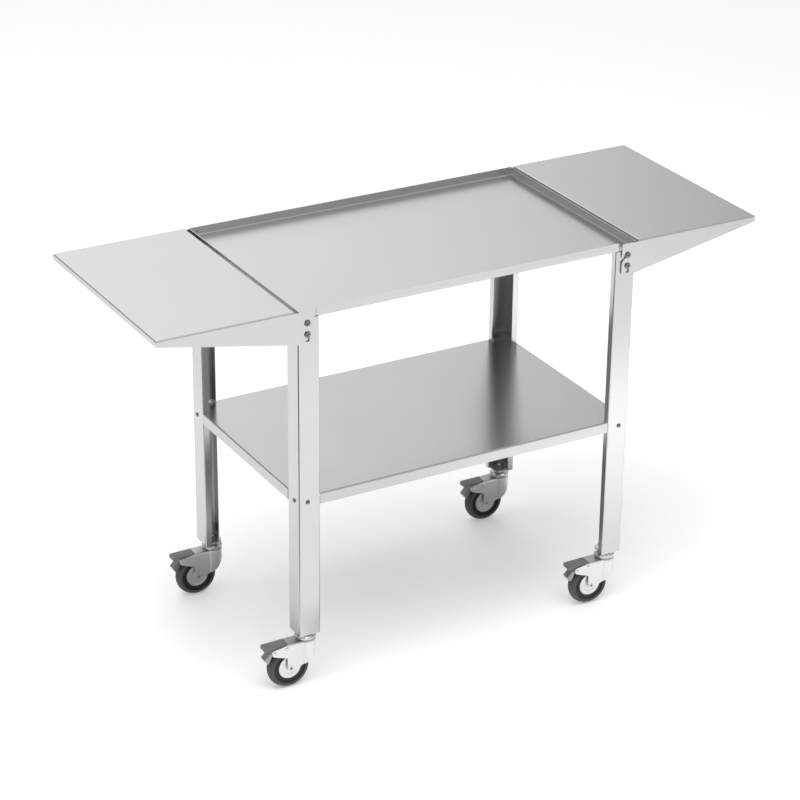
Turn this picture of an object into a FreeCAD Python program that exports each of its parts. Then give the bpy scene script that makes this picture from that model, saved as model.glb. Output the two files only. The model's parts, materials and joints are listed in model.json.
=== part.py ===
import FreeCAD, Part
import math
import os

# Griddle cart of folded stainless sheet: a shallow tray on four angle legs, a lower shelf,
# two folding side shelves on stud hinges and four braked swivel castors.
# Millimetres. Origin on the floor under the middle, X along the length, Y to the back, Z up.

# Overall driving dimensions
FRAME_LENGTH = 740.0          # over the legs' outer side faces
FRAME_DEPTH = 464.0           # over the legs' front and rear faces
WORKTOP_HEIGHT = 798.0        # floor to the side shelf tops and the tray rim
CASTOR_HEIGHT = 113.0         # floor to the legs' lower ends
LOWER_SHELF_TOP = 415.0       # floor to the lower shelf's top

# Legs
LEG_FACE = 45.0               # width of each face of the angle
LEG_SHEET = 2.0
LEG_LIP = 14.0                # returned lip on each free edge
LEG_BEND = 3.0                # outer bend radius
LEG_CAP = 2.0                 # welded top plate
LEG_BASE = 3.0                # welded bottom plate
LEG_PLATE_MARGIN = 1.0        # weld gap between the plates and the lips

# Tray
TRAY_WALL = 18.0              # height of the upstands
TRAY_SHEET = 1.5
TRAY_BEND = 3.0
FRONT_WALL_SETBACK = 6.5      # from the shelf ear to the front upstand's end
REAR_HOLE_RADIUS = 1.9
REAR_HOLE_INSET = 17.0

# Lower shelf and its corner brackets
SHELF_SHEET = 1.5
SHELF_FLANGE = 23.0
SHELF_BEND = 3.0
SHELF_CLEARANCE = 1.0         # between the shelf and the legs
BRACKET_SHEET = 2.0
BRACKET_WING = 34.0
BRACKET_ABOVE = 36.0          # above the shelf's top
BRACKET_BELOW = 23.0          # below the shelf's top
BRACKET_BEND = 3.5
BRACKET_SCREW_DROP = 13.0     # screw below the shelf's top
TONGUE_STUD_INSET = 28.0      # shelf stud from the leg's outer faces

# Side shelves
SIDE_REACH = 278.0            # plate, from its inner to its outer edge
SIDE_GAP = 6.0                # between the tray's side and the plate
SIDE_SHEET = 2.0
SIDE_STANDOFF = 1.0           # between the leg's face and the shelf's flange
SIDE_EDGE_FOLD = 12.0         # folded down at the outer edge
SIDE_INNER_FOLD = 20.0        # folded down beside the tray
SIDE_BEND = 3.0               # outer bend radius
EAR_DROP = 67.0               # flange depth at the leg
EAR_PAST_STUD = 13.5          # ear, inward of the studs
EAR_CORNER = 5.0

# Hinge studs
STUD_RADIUS = 3.0
STUD_INSET = 19.0             # from the leg's outer side face
PIVOT_DROP = 49.0             # lower stud below the worktop
STUD_SPACING = 22.5
SHELF_LIFT = 11.0             # slot travel over the whole fold
FOLD_ANGLE = 90.0
LOCK_CLEARANCE = 0.5          # round the upper stud in its notch
COLLAR_RADIUS = 5.5
COLLAR_HEIGHT = 0.7
STUD_TAIL = 1.5               # past the inner nut
BUSH_RADIUS = 4.0
BUSH_FLANGE_RADIUS = 7.0
BUSH_FLANGE = 0.7
BUSH_PLAY = 0.1               # end play
RUNNING_FIT = 0.05            # radial
CAP_NUT_RADIUS = 6.5
CAP_NUT_RIM = 1.2
CAP_NUT_DOME = 4.0
CAP_NUT_PLAY = 0.3

# Small fasteners
SCREW_RADIUS = 2.5
SCREW_HOLE_PLAY = 0.1
SCREW_HEAD_RADIUS = 4.75
SCREW_HEAD_HEIGHT = 2.6
FLUSH_HEAD_RADIUS = 3.5       # pressed-in studs of the lower shelf
FLUSH_HEAD_HEIGHT = 0.8
SCREW_TAIL = 1.0
M5_NUT_FLATS = 8.0
M5_NUT_HEIGHT = 4.0
M6_NUT_FLATS = 10.0
M6_NUT_HEIGHT = 5.0
THREAD_PLAY = 0.02

# Clear bearing areas on the tray and the lower shelf
BEARING_MARGIN = 5.0          # of the lower shelf's bearing area, from the legs
TRAY_BEARING_INSET = 32.0     # of the tray's bearing area, from its edges

# How far a cutting tool runs past the faces it cuts
OVERCUT = 1.0

# Castors
CASTOR_INSET = 23.5           # swivel axis from the leg's outer faces
WHEEL_WIDTH = 24.0
WHEEL_CLEARANCE = 6.5         # tyre to the fork's web
TREAD_SHOULDER = 5.0          # how far the tread drops at its shoulders
TYRE_BORE = 24.0
HUB_FACE_DEPTH = 1.0          # hub face set in from the tyre's side
HUB_BOSS_RADIUS = 8.5
HUB_SIDE_PLAY = 0.4
TRAIL = 39.0                  # swivel axis to axle, along -X
AXLE_RADIUS = 4.0
AXLE_HEAD_RADIUS = 5.0
AXLE_HEAD_HEIGHT = 1.0
AXLE_RECESS_RADIUS = 2.8
AXLE_RECESS_DEPTH = 5.0
AXLE_NUT_FLATS = 13.0
AXLE_NUT_HEIGHT = 6.0
FORK_SHEET = 2.5
FORK_GAP = 27.0               # between the fork's side plates
FORK_BEND = 3.0               # outer radius between the web and the side plates
FORK_CROWN_RADIUS = 20.5      # crown and the round front wall below it
FORK_FRONT_DROP = 19.0        # front wall below the fork's top
FORK_FRONT_ROUND = 12.0
FORK_FLANK_X = 2.0            # turn of the lower edge, from the swivel axis
FORK_FLANK_RISE = 10.0        # turn of the lower edge, above the axle
FORK_FLANK_ROUND = 30.0
FORK_TOE = 7.0                # plate round the axle
FORK_WEB_END = 5.3            # top web, behind the axle
FORK_ARM_ROOT = 24.0          # arm's lower edge above the axle
HEAD_RADIUS = 21.0
HEAD_BOTTOM_RADIUS = 19.0
HEAD_HEIGHT = 10.5
HEAD_NECK_RADIUS = 12.0
HEAD_NECK = 5.8               # neck between the head and the leg
HEAD_PLAY = 0.2
KINGPIN_RADIUS = 6.0
KINGPIN_HEAD_RADIUS = 10.0
KINGPIN_HEAD = 2.5
STEM_TAIL = 2.0
STEM_NUT_FLATS = 18.0
STEM_NUT_HEIGHT = 7.0

# Brake pedals
PEDAL_PIVOT_BACK = 34.4       # pivot behind the axle
PEDAL_PIVOT_DROP = 10.6       # pivot below the fork's top
PEDAL_ARM_RADIUS = 5.8
ARM_ROUND = 5.2               # corner radius of the arm's end
PEDAL_PIN_RADIUS = 3.0
PIN_HEAD_RADIUS = 3.6
PIN_HEAD_HEIGHT = 1.2
RIVET_RADIUS = 2.2
RIVET_BACK = 8.3              # fork rivet behind the axle
RIVET_DROP = 7.2              # fork rivet below the fork's top
PAD_LENGTH = 47.5
PAD_GAP = 1.5                 # pad to the fork's web
PAD_RISE = 0.8                # pad's top above the fork's top
PAD_DEPTH = 6.2
PAD_SIDE_PLAY = 0.5           # pad to the fork's side plates
PAD_WALL = 1.4
PAD_TOP_WALL = 4.0
PAD_OUTER_ROUND = 6.0         # plan corners at the toe end
PAD_INNER_ROUND = 1.0
PAD_TOP_ROUND = 0.7
LEVER_SHEET = 2.5
LEVER_FIT = 0.1               # lever plate in its pad
LEVER_BARREL_RADIUS = 5.2
CLAW_WIDTH = 17.0
CLAW_TIP = 3.0
CLAW_CLEARANCE = 4.6          # claw to tyre with the brake off
CLAW_REACH = 24.0             # claw tip below the pedal pivot

# Places worked out from the driving dimensions
HALF_X = FRAME_LENGTH / 2
HALF_Y = FRAME_DEPTH / 2
LEG_TOP = WORKTOP_HEIGHT - TRAY_WALL
PIVOT_Z = WORKTOP_HEIGHT - PIVOT_DROP
LOCK_Z = PIVOT_Z + STUD_SPACING
STUD_X = -HALF_X + STUD_INSET
EAR_X = STUD_X + EAR_PAST_STUD
FLANGE_INNER_Y = HALF_Y + SIDE_STANDOFF
FLANGE_OUTER_Y = FLANGE_INNER_Y + SIDE_SHEET
PLATE_INNER_X = -HALF_X - SIDE_GAP
PLATE_OUTER_X = PLATE_INNER_X - SIDE_REACH
CAP_NUT_Y = FLANGE_OUTER_Y + CAP_NUT_PLAY
SHELF_UNDER = LOWER_SHELF_TOP - SHELF_SHEET
BRACKET_SCREW_Z = LOWER_SHELF_TOP - BRACKET_SCREW_DROP
HEAD_BOTTOM = CASTOR_HEIGHT - HEAD_NECK - HEAD_HEIGHT
FORK_TOP = HEAD_BOTTOM - HEAD_PLAY
WEB_UNDER = FORK_TOP - FORK_SHEET
WHEEL_RADIUS = (WEB_UNDER - WHEEL_CLEARANCE) / 2
AXLE_X = -TRAIL
AXLE_Z = WHEEL_RADIUS
PEDAL_X = AXLE_X - PEDAL_PIVOT_BACK
PEDAL_Z = FORK_TOP - PEDAL_PIVOT_DROP
RIVET_X = AXLE_X - RIVET_BACK
RIVET_Z = FORK_TOP - RIVET_DROP
FORK_INNER_Y = FORK_GAP / 2
FORK_OUTER_Y = FORK_INNER_Y + FORK_SHEET
WEB_END_X = AXLE_X - FORK_WEB_END
PAD_INNER_X = WEB_END_X - PAD_GAP
PAD_OUTER_X = PAD_INNER_X - PAD_LENGTH
PAD_TOP = FORK_TOP + PAD_RISE
LEVER_TOP = PAD_TOP - PAD_TOP_WALL - LEVER_FIT

X_AXIS = FreeCAD.Vector(1, 0, 0)
Y_AXIS = FreeCAD.Vector(0, 1, 0)
Z_AXIS = FreeCAD.Vector(0, 0, 1)


def vector(x, y, z):
    return FreeCAD.Vector(x, y, z)


def block(x_range, y_range, z_range):
    """Box between two corners, each axis given as (low, high)."""
    sizes = [high - low for low, high in (x_range, y_range, z_range)]
    return Part.makeBox(*sizes, vector(x_range[0], y_range[0], z_range[0]))


def rod(start, axis, radius, length):
    return Part.makeCylinder(radius, length, start, axis)


def rounded_face(corners, place):
    """Flat face whose corners are (a, b, radius), put in space by place(a, b)."""
    edges = []
    ends = []
    count = len(corners)
    for index, (a, b, radius) in enumerate(corners):
        here = vector(a, b, 0)
        before = vector(*corners[index - 1][:2], 0) - here
        after = vector(*corners[(index + 1) % count][:2], 0) - here
        if radius == 0:
            ends.append((here, here, None))
            continue
        before.normalize()
        after.normalize()
        half = before.getAngle(after) / 2
        inward = before + after
        inward.normalize()
        reach = radius / math.tan(half)
        middle = here + inward * (radius / math.sin(half) - radius)
        ends.append((here + before * reach, here + after * reach, middle))
    for index, (start, finish, middle) in enumerate(ends):
        if middle is not None:
            points = [place(p.x, p.y) for p in (start, middle, finish)]
            edges.append(Part.Arc(*points).toShape())
        following = ends[(index + 1) % count][0]
        if finish.distanceToPoint(following) > 1e-6:
            edges.append(Part.makeLine(place(finish.x, finish.y), place(following.x, following.y)))
    return Part.Face(Part.Wire(edges))


def upright(corners, bottom, top):
    """Prism on a plan outline of (x, y, radius) corners."""
    return rounded_face(corners, lambda x, y: vector(x, y, bottom)).extrude(Z_AXIS * (top - bottom))


def sideways(corners, front, back):
    """Prism across Y on a front-view outline of (x, z, radius) corners."""
    return rounded_face(corners, lambda x, z: vector(x, front, z)).extrude(Y_AXIS * (back - front))


def turned_z(profile):
    """Solid turned about Z from (radius, z) points."""
    points = [vector(r, 0, z) for r, z in profile]
    return Part.Face(Part.makePolygon(points + points[:1])).revolve(vector(0, 0, 0), Z_AXIS, 360)


def fuse(first, *others):
    return first.multiFuse(list(others)).removeSplitter()


def cut(shape, *tools):
    return shape.cut(list(tools))


def round_edges(shape, radius, wanted):
    """Fillet the edges whose two end points both pass the test."""
    edges = [e for e in shape.Edges if all(wanted(v.Point) for v in e.Vertexes) and len(e.Vertexes) == 2]
    return shape.makeFillet(radius, edges)


def with_bearing_area(solid, half_x, half_y, level):
    """Solid whose level top face is split along a rectangle, so that the clear area is a face of its own."""
    area = Part.makePlane(2 * half_x, 2 * half_y, vector(-half_x, -half_y, level))
    return solid.generalFuse([area])[0].Solids[0]


def near(value, target):
    return abs(value - target) < 1e-4


def corner_copy(shape, side_x, side_y):
    """Copy of a front-left piece at the corner on side_x, side_y (each -1 or 1)."""
    copy = shape.copy()
    if side_x > 0:
        copy = copy.mirror(vector(0, 0, 0), X_AXIS)
    if side_y > 0:
        copy = copy.mirror(vector(0, 0, 0), Y_AXIS)
    return copy


def hexagon(flats, height, start, axis, bore):
    """Hexagon nut with its axis along the given direction and a flat facing up."""
    radius = flats / math.sqrt(3)
    across = Z_AXIS if abs(axis.z) < 0.5 else X_AXIS
    side = axis.cross(across)
    points = []
    for step in range(6):
        angle = math.radians(60 * step)
        points.append(start + side * (radius * math.cos(angle)) + across * (radius * math.sin(angle)))
    body = Part.Face(Part.makePolygon(points + points[:1])).extrude(axis * height)
    return body.cut(rod(start - axis * OVERCUT, axis, bore, height + 2 * OVERCUT))


def dome(start, axis, radius, height):
    """Domed cap of a given base radius and height, base centre at start."""
    side = axis.cross(Z_AXIS if abs(axis.z) < 0.5 else X_AXIS)
    ball_radius = (radius ** 2 + height ** 2) / (2 * height)
    centre = start + axis * (height - ball_radius)
    rim = start + side * radius
    apex = start + axis * height
    halfway = ((rim - centre) + (apex - centre)).normalize()
    crown = Part.Arc(rim, centre + halfway * ball_radius, apex).toShape()
    outline = Part.Wire([Part.makeLine(start, rim), crown, Part.makeLine(apex, start)])
    return Part.Face(outline).revolve(start, axis, 360)


def dome_screw(seat, inward, grip):
    """Button-head screw seated at a point, its shank running inward through the grip, a nut and a tail."""
    shank = rod(seat, inward, SCREW_RADIUS, grip + M5_NUT_HEIGHT + SCREW_TAIL)
    return fuse(dome(seat, inward * -1, SCREW_HEAD_RADIUS, SCREW_HEAD_HEIGHT), shank)


def flush_stud(seat, inward, grip):
    """Pressed-in stud whose head is flush with the sheet, its shank running on through the grip and a nut."""
    shank = rod(seat, inward, SCREW_RADIUS, grip + M5_NUT_HEIGHT + SCREW_TAIL)
    return fuse(rod(seat, inward, FLUSH_HEAD_RADIUS, FLUSH_HEAD_HEIGHT), shank)


def welded_stud(seat, inward, grip):
    """Stud welded under a sheet, running through the grip and a nut."""
    return rod(seat, inward, SCREW_RADIUS, grip + M5_NUT_HEIGHT + SCREW_TAIL)


def flush_hole(x, y, top, sheet):
    """Tool for a hole through a level sheet, recessed for a flush head."""
    radius = SCREW_RADIUS + SCREW_HOLE_PLAY
    through = rod(vector(x, y, top - sheet - OVERCUT), Z_AXIS, radius, sheet + 2 * OVERCUT)
    recess = rod(vector(x, y, top - FLUSH_HEAD_HEIGHT), Z_AXIS, FLUSH_HEAD_RADIUS + THREAD_PLAY,
                 FLUSH_HEAD_HEIGHT + OVERCUT)
    return fuse(through, recess)


def screw_nut(seat, inward, grip):
    return hexagon(M5_NUT_FLATS, M5_NUT_HEIGHT, seat + inward * grip, inward, SCREW_RADIUS + THREAD_PLAY)


def leg():
    """Front-left leg: an angle with returned lips, a cap and a base plate welded in."""
    x, y = -HALF_X, -HALF_Y
    face, sheet, lip, bend = LEG_FACE, LEG_SHEET, LEG_LIP, LEG_BEND
    inner = bend - sheet
    section = [(x, y, bend), (x + face, y, bend), (x + face, y + lip, 0), (x + face - sheet, y + lip, 0),
               (x + face - sheet, y + sheet, inner), (x + sheet, y + sheet, inner),
               (x + sheet, y + face - sheet, inner), (x + lip, y + face - sheet, 0),
               (x + lip, y + face, 0), (x, y + face, bend)]
    body = upright(section, CASTOR_HEIGHT, LEG_TOP)
    low = sheet
    high = face - sheet - LEG_PLATE_MARGIN
    plan = [(x + low, y + low, inner), (x + high, y + low, 0),
            (x + high, y + high, lip), (x + low, y + high, 0)]
    cap = upright(plan, LEG_TOP - LEG_CAP, LEG_TOP)
    base = upright(plan, CASTOR_HEIGHT, CASTOR_HEIGHT + LEG_BASE)
    body = fuse(body, cap, base)
    screw_hole = SCREW_RADIUS + SCREW_HOLE_PLAY
    stud_hole = STUD_RADIUS + SCREW_HOLE_PLAY
    through = 2 * sheet
    holes = [rod(vector(STUD_X, y - sheet / 2, z), Y_AXIS, stud_hole, through) for z in (PIVOT_Z, LOCK_Z)]
    holes.append(rod(vector(x + STUD_INSET, y - sheet / 2, BRACKET_SCREW_Z), Y_AXIS, screw_hole, through))
    holes.append(rod(vector(x - sheet / 2, y + STUD_INSET, BRACKET_SCREW_Z), X_AXIS, screw_hole, through))
    centre = (x + CASTOR_INSET, y + CASTOR_INSET)
    holes.append(rod(vector(*centre, LEG_TOP - 2 * LEG_CAP), Z_AXIS, screw_hole, 3 * LEG_CAP))
    stem_hole = KINGPIN_RADIUS + SCREW_HOLE_PLAY
    holes.append(rod(vector(*centre, CASTOR_HEIGHT - OVERCUT), Z_AXIS, stem_hole, LEG_BASE + 2 * OVERCUT))
    return cut(body, *holes)


def tray():
    """Shallow pan whose floor rests on the legs; the front upstand stops short of the shelf ears."""
    floor = LEG_TOP + TRAY_SHEET
    outer = block((-HALF_X, HALF_X), (-HALF_Y, HALF_Y), (LEG_TOP, WORKTOP_HEIGHT))
    outer = round_edges(outer, TRAY_BEND, lambda p: near(p.z, LEG_TOP))
    inside_x = HALF_X - TRAY_SHEET
    inside_y = HALF_Y - TRAY_SHEET
    inner = block((-inside_x, inside_x), (-inside_y, inside_y), (floor, WORKTOP_HEIGHT + TRAY_WALL))
    inner = round_edges(inner, TRAY_BEND - TRAY_SHEET, lambda p: near(p.z, floor))
    pan = outer.cut(inner)
    wall_end = -EAR_X - FRONT_WALL_SETBACK
    tools = []
    for side in (-1, 1):
        span = sorted((side * wall_end, side * (HALF_X - TRAY_BEND)))
        tools.append(block(span, (-HALF_Y - OVERCUT, -HALF_Y + TRAY_BEND), (floor, WORKTOP_HEIGHT + OVERCUT)))
        hole = vector(side * (HALF_X - REAR_HOLE_INSET), HALF_Y - TRAY_BEND, LEG_TOP + TRAY_WALL / 2)
        tools.append(rod(hole, Y_AXIS, REAR_HOLE_RADIUS, 2 * TRAY_BEND))
    clear = TRAY_BEARING_INSET
    return with_bearing_area(cut(pan, *tools), HALF_X - clear, HALF_Y - clear, floor)


def lower_shelf():
    """Inverted pan, notched round the legs, with a tongue reaching into each leg."""
    bottom = LOWER_SHELF_TOP - SHELF_FLANGE
    outer = block((-HALF_X, HALF_X), (-HALF_Y, HALF_Y), (bottom, LOWER_SHELF_TOP))
    outer = round_edges(outer, SHELF_BEND, lambda p: near(p.z, LOWER_SHELF_TOP))
    inside_x = HALF_X - SHELF_SHEET
    inside_y = HALF_Y - SHELF_SHEET
    inner = block((-inside_x, inside_x), (-inside_y, inside_y), (bottom - SHELF_FLANGE, SHELF_UNDER))
    inner = round_edges(inner, SHELF_BEND - SHELF_SHEET, lambda p: near(p.z, SHELF_UNDER))
    pan = outer.cut(inner)
    past_face = LEG_FACE + SHELF_CLEARANCE
    past_lip = LEG_LIP + SHELF_CLEARANCE
    height = (bottom - OVERCUT, LOWER_SHELF_TOP + OVERCUT)
    x, y = -HALF_X, -HALF_Y
    notch = fuse(block((x - OVERCUT, x + past_face), (y - OVERCUT, y + past_lip), height),
                 block((x - OVERCUT, x + past_lip), (y - OVERCUT, y + past_face), height))
    hole = flush_hole(x + TONGUE_STUD_INSET, y + TONGUE_STUD_INSET, LOWER_SHELF_TOP, SHELF_SHEET)
    body = cut(pan, *[corner_copy(tool, sx, sy) for sx, sy in CORNERS.values() for tool in (notch, hole)])
    clear = past_face + BEARING_MARGIN
    return with_bearing_area(body, HALF_X - clear, HALF_Y - clear, LOWER_SHELF_TOP)


def corner_bracket():
    """Front-left folded bracket: two wings on the leg's inner faces and a seat under the shelf."""
    x = -HALF_X + LEG_SHEET
    y = -HALF_Y + LEG_SHEET
    wing, sheet = BRACKET_WING, BRACKET_SHEET
    section = [(x, y, BRACKET_BEND), (x + wing, y, 0), (x + wing, y + sheet, 0),
               (x + sheet, y + sheet, BRACKET_BEND - sheet), (x + sheet, y + wing, 0), (x, y + wing, 0)]
    body = upright(section, LOWER_SHELF_TOP - BRACKET_BELOW, LOWER_SHELF_TOP + BRACKET_ABOVE)
    step = sheet / 2
    seat = [(x + step, y + step, step), (x + wing, y + step, 0),
            (x + wing, y + wing, wing / 4), (x + step, y + wing, 0)]
    body = fuse(body, upright(seat, SHELF_UNDER - sheet, SHELF_UNDER))
    hole = SCREW_RADIUS + SCREW_HOLE_PLAY
    through = 2 * sheet
    middle = vector(-HALF_X + TONGUE_STUD_INSET, -HALF_Y + TONGUE_STUD_INSET, SHELF_UNDER - 2 * sheet)
    return cut(body,
               rod(vector(-HALF_X + STUD_INSET, y - step, BRACKET_SCREW_Z), Y_AXIS, hole, through),
               rod(vector(x - step, -HALF_Y + STUD_INSET, BRACKET_SCREW_Z), X_AXIS, hole, through),
               rod(middle, Z_AXIS, hole, 3 * sheet))


def bracket_fasteners(make):
    """Front-left pair of bracket screws or nuts, one on each face of the leg."""
    grip = LEG_SHEET + BRACKET_SHEET
    return [make(vector(-HALF_X + STUD_INSET, -HALF_Y, BRACKET_SCREW_Z), Y_AXIS, grip),
            make(vector(-HALF_X, -HALF_Y + STUD_INSET, BRACKET_SCREW_Z), X_AXIS, grip)]


def shelf_fasteners(make):
    seat = vector(-HALF_X + TONGUE_STUD_INSET, -HALF_Y + TONGUE_STUD_INSET, LOWER_SHELF_TOP)
    return [make(seat, Z_AXIS * -1, SHELF_SHEET + BRACKET_SHEET)]


def tray_fasteners(make):
    seat = vector(-HALF_X + CASTOR_INSET, -HALF_Y + CASTOR_INSET, LEG_TOP)
    return [make(seat, Z_AXIS * -1, LEG_CAP)]


def lock_path(angle):
    """Upper stud's centre seen from the left shelf after it has folded by an angle in degrees."""
    turn = math.radians(angle)
    lift = SHELF_LIFT * angle / FOLD_ANGLE
    return vector(STUD_X + STUD_SPACING * math.sin(turn), 0, PIVOT_Z + STUD_SPACING * math.cos(turn) - lift)


def lock_notch(near_y, far_y):
    """Curved notch that the upper stud leaves by as the shelf folds."""
    half = STUD_RADIUS + LOCK_CLEARANCE
    stations = [lock_path(FOLD_ANGLE * share) for share in (0, 1 / 3, 2 / 3)]
    centre = Part.Arc(*stations).toShape().Curve.Center
    radial = [(p - centre).normalize() for p in stations]
    outer = [p + n * half for p, n in zip(stations, radial)]
    inner = [p - n * half for p, n in zip(stations, radial)]
    backward = radial[0].cross(Y_AXIS) * half
    if backward.dot(stations[1] - stations[0]) > 0:
        backward = backward * -1
    wire = Part.Wire([Part.Arc(*outer).toShape(), Part.makeLine(outer[2], inner[2]),
                      Part.Arc(inner[2], inner[1], inner[0]).toShape(),
                      Part.Arc(inner[0], stations[0] + backward, outer[0]).toShape()])
    face = Part.Face(wire)
    face.translate(vector(0, near_y, 0))
    return face.extrude(Y_AXIS * (far_y - near_y))


def side_shelf():
    """Left side shelf: one sheet folded down all round, with wedge flanges whose ears carry the slots."""
    top, sheet, bend = WORKTOP_HEIGHT, SIDE_SHEET, SIDE_BEND
    outer, inner, side = PLATE_OUTER_X, PLATE_INNER_X, FLANGE_OUTER_Y
    flat = top - bend
    inside = bend - sheet
    across = [(-side, flat - sheet, 0), (-side, top, bend), (side, top, bend), (side, flat - sheet, 0),
              (side - sheet, flat - sheet, 0), (side - sheet, top - sheet, inside),
              (sheet - side, top - sheet, inside), (sheet - side, flat - sheet, 0)]
    section = rounded_face(across, lambda y, z: vector(outer + bend, y, z))
    channel = section.extrude(X_AXIS * (inner - outer - 2 * bend))
    along = [(outer, top - SIDE_EDGE_FOLD, 0), (outer, top, bend), (inner, top, bend),
             (inner, top - SIDE_INNER_FOLD, 0), (inner - sheet, top - SIDE_INNER_FOLD, 0),
             (inner - sheet, top - sheet, inside), (outer + sheet, top - sheet, inside),
             (outer + sheet, top - SIDE_EDGE_FOLD, 0)]
    plate = sideways(along, bend - side, side - bend)
    edge = block((outer, outer + sheet), (-side, side), (top - SIDE_EDGE_FOLD, flat))
    outline = [(outer, flat, 0), (EAR_X, flat, EAR_CORNER), (EAR_X, top - EAR_DROP, EAR_CORNER),
               (-HALF_X, top - EAR_DROP, EAR_CORNER), (outer, top - SIDE_EDGE_FOLD, 0)]
    front = sideways(outline, -side, -FLANGE_INNER_Y)
    rear = sideways(outline, FLANGE_INNER_Y, side)
    corners = []
    for y in (-side, side - bend):
        ball = Part.makeSphere(bend, vector(outer + bend, math.copysign(side - bend, y), flat))
        corners.append(ball.common(block((outer, outer + bend), (y, y + bend), (flat, top))))
    body = fuse(plate, channel, edge, front, rear, *corners)
    half = BUSH_RADIUS + RUNNING_FIT
    low = PIVOT_Z - SHELF_LIFT
    width = 2 * (FLANGE_OUTER_Y + OVERCUT)
    slot = block((STUD_X - half, STUD_X + half), (-width / 2, width / 2), (low, PIVOT_Z))
    slot_ends = [rod(vector(STUD_X, -width / 2, z), Y_AXIS, half, width) for z in (low, PIVOT_Z)]
    return cut(body, fuse(slot, *slot_ends), lock_notch(-width / 2, width / 2))


def stud(z, collar):
    """Front-left hinge stud through the leg's front face, from the inner nut's tail into the cap nut."""
    inner_end = -HALF_Y + LEG_SHEET + M6_NUT_HEIGHT + STUD_TAIL
    outer_end = -(CAP_NUT_Y + CAP_NUT_DOME - THREAD_PLAY)
    body = rod(vector(STUD_X, outer_end, z), Y_AXIS, STUD_RADIUS, inner_end - outer_end)
    if collar:
        foot = vector(STUD_X, -HALF_Y - COLLAR_HEIGHT, z)
        body = fuse(body, rod(foot, Y_AXIS, COLLAR_RADIUS, COLLAR_HEIGHT))
    return body


def stud_nut(z):
    start = vector(STUD_X, -HALF_Y + LEG_SHEET, z)
    return hexagon(M6_NUT_FLATS, M6_NUT_HEIGHT, start, Y_AXIS, STUD_RADIUS + THREAD_PLAY)


def cap_nut(z):
    """Polished domed nut with a blind bore for its stud."""
    outward = Y_AXIS * -1
    seat = vector(STUD_X, -CAP_NUT_Y, z)
    rim_top = seat + outward * CAP_NUT_RIM
    body = fuse(rod(seat, outward, CAP_NUT_RADIUS, CAP_NUT_RIM),
                dome(rim_top, outward, CAP_NUT_RADIUS, CAP_NUT_DOME))
    bore = STUD_RADIUS + THREAD_PLAY
    return body.cut(rod(seat - outward * OVERCUT, outward, bore, CAP_NUT_DOME + OVERCUT))


def pivot_bush():
    """Flanged bush on the lower stud, between the leg and the cap nut, that runs in the shelf's slot."""
    outward = Y_AXIS * -1
    foot = vector(STUD_X, -HALF_Y - BUSH_PLAY, PIVOT_Z)
    length = CAP_NUT_Y - HALF_Y - 2 * BUSH_PLAY
    body = fuse(rod(foot, outward, BUSH_FLANGE_RADIUS, BUSH_FLANGE), rod(foot, outward, BUSH_RADIUS, length))
    bore = STUD_RADIUS + RUNNING_FIT
    return body.cut(rod(foot - outward * OVERCUT, outward, bore, length + 2 * OVERCUT))


def castor_head():
    """Swivel head: threaded stem, neck, domed ball-race cover and the kingpin that carries the fork."""
    bottom = HEAD_BOTTOM
    shoulder = bottom + HEAD_HEIGHT
    stem_top = CASTOR_HEIGHT + LEG_BASE + STEM_NUT_HEIGHT + STEM_TAIL
    step = HEAD_HEIGHT / 4
    rivet_top = WEB_UNDER - HEAD_PLAY
    rivet_bottom = rivet_top - KINGPIN_HEAD
    return turned_z([(0, rivet_bottom), (KINGPIN_HEAD_RADIUS, rivet_bottom),
                     (KINGPIN_HEAD_RADIUS, rivet_top), (KINGPIN_RADIUS, rivet_top),
                     (KINGPIN_RADIUS, bottom), (HEAD_BOTTOM_RADIUS, bottom), (HEAD_RADIUS, bottom + step),
                     (HEAD_RADIUS, bottom + 2 * step), (HEAD_BOTTOM_RADIUS, shoulder - step / 2),
                     (HEAD_BOTTOM_RADIUS - step, shoulder), (HEAD_NECK_RADIUS, shoulder),
                     (HEAD_NECK_RADIUS, CASTOR_HEIGHT), (KINGPIN_RADIUS, CASTOR_HEIGHT),
                     (KINGPIN_RADIUS, stem_top), (0, stem_top)])


def fork_block(half_y, radius, bottom, top, bend):
    """Straight part along the arms and a round front about the swivel axis, with eased top edges."""
    start = PEDAL_X - PEDAL_ARM_RADIUS
    straight = block((start, 0), (-half_y, half_y), (bottom, top))
    front = rod(vector(0, 0, bottom), Z_AXIS, radius, top - bottom)
    if bend:
        ridges = [e for e in straight.Edges if all(near(v.Z, top) for v in e.Vertexes)
                  and near(e.Vertexes[0].Y, e.Vertexes[1].Y)]
        straight = straight.makeFillet(bend, ridges)
        front = front.makeFillet(bend, [e for e in front.Edges if e.Closed and near(e.Vertexes[0].Z, top)])
    return fuse(straight, front)


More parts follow.
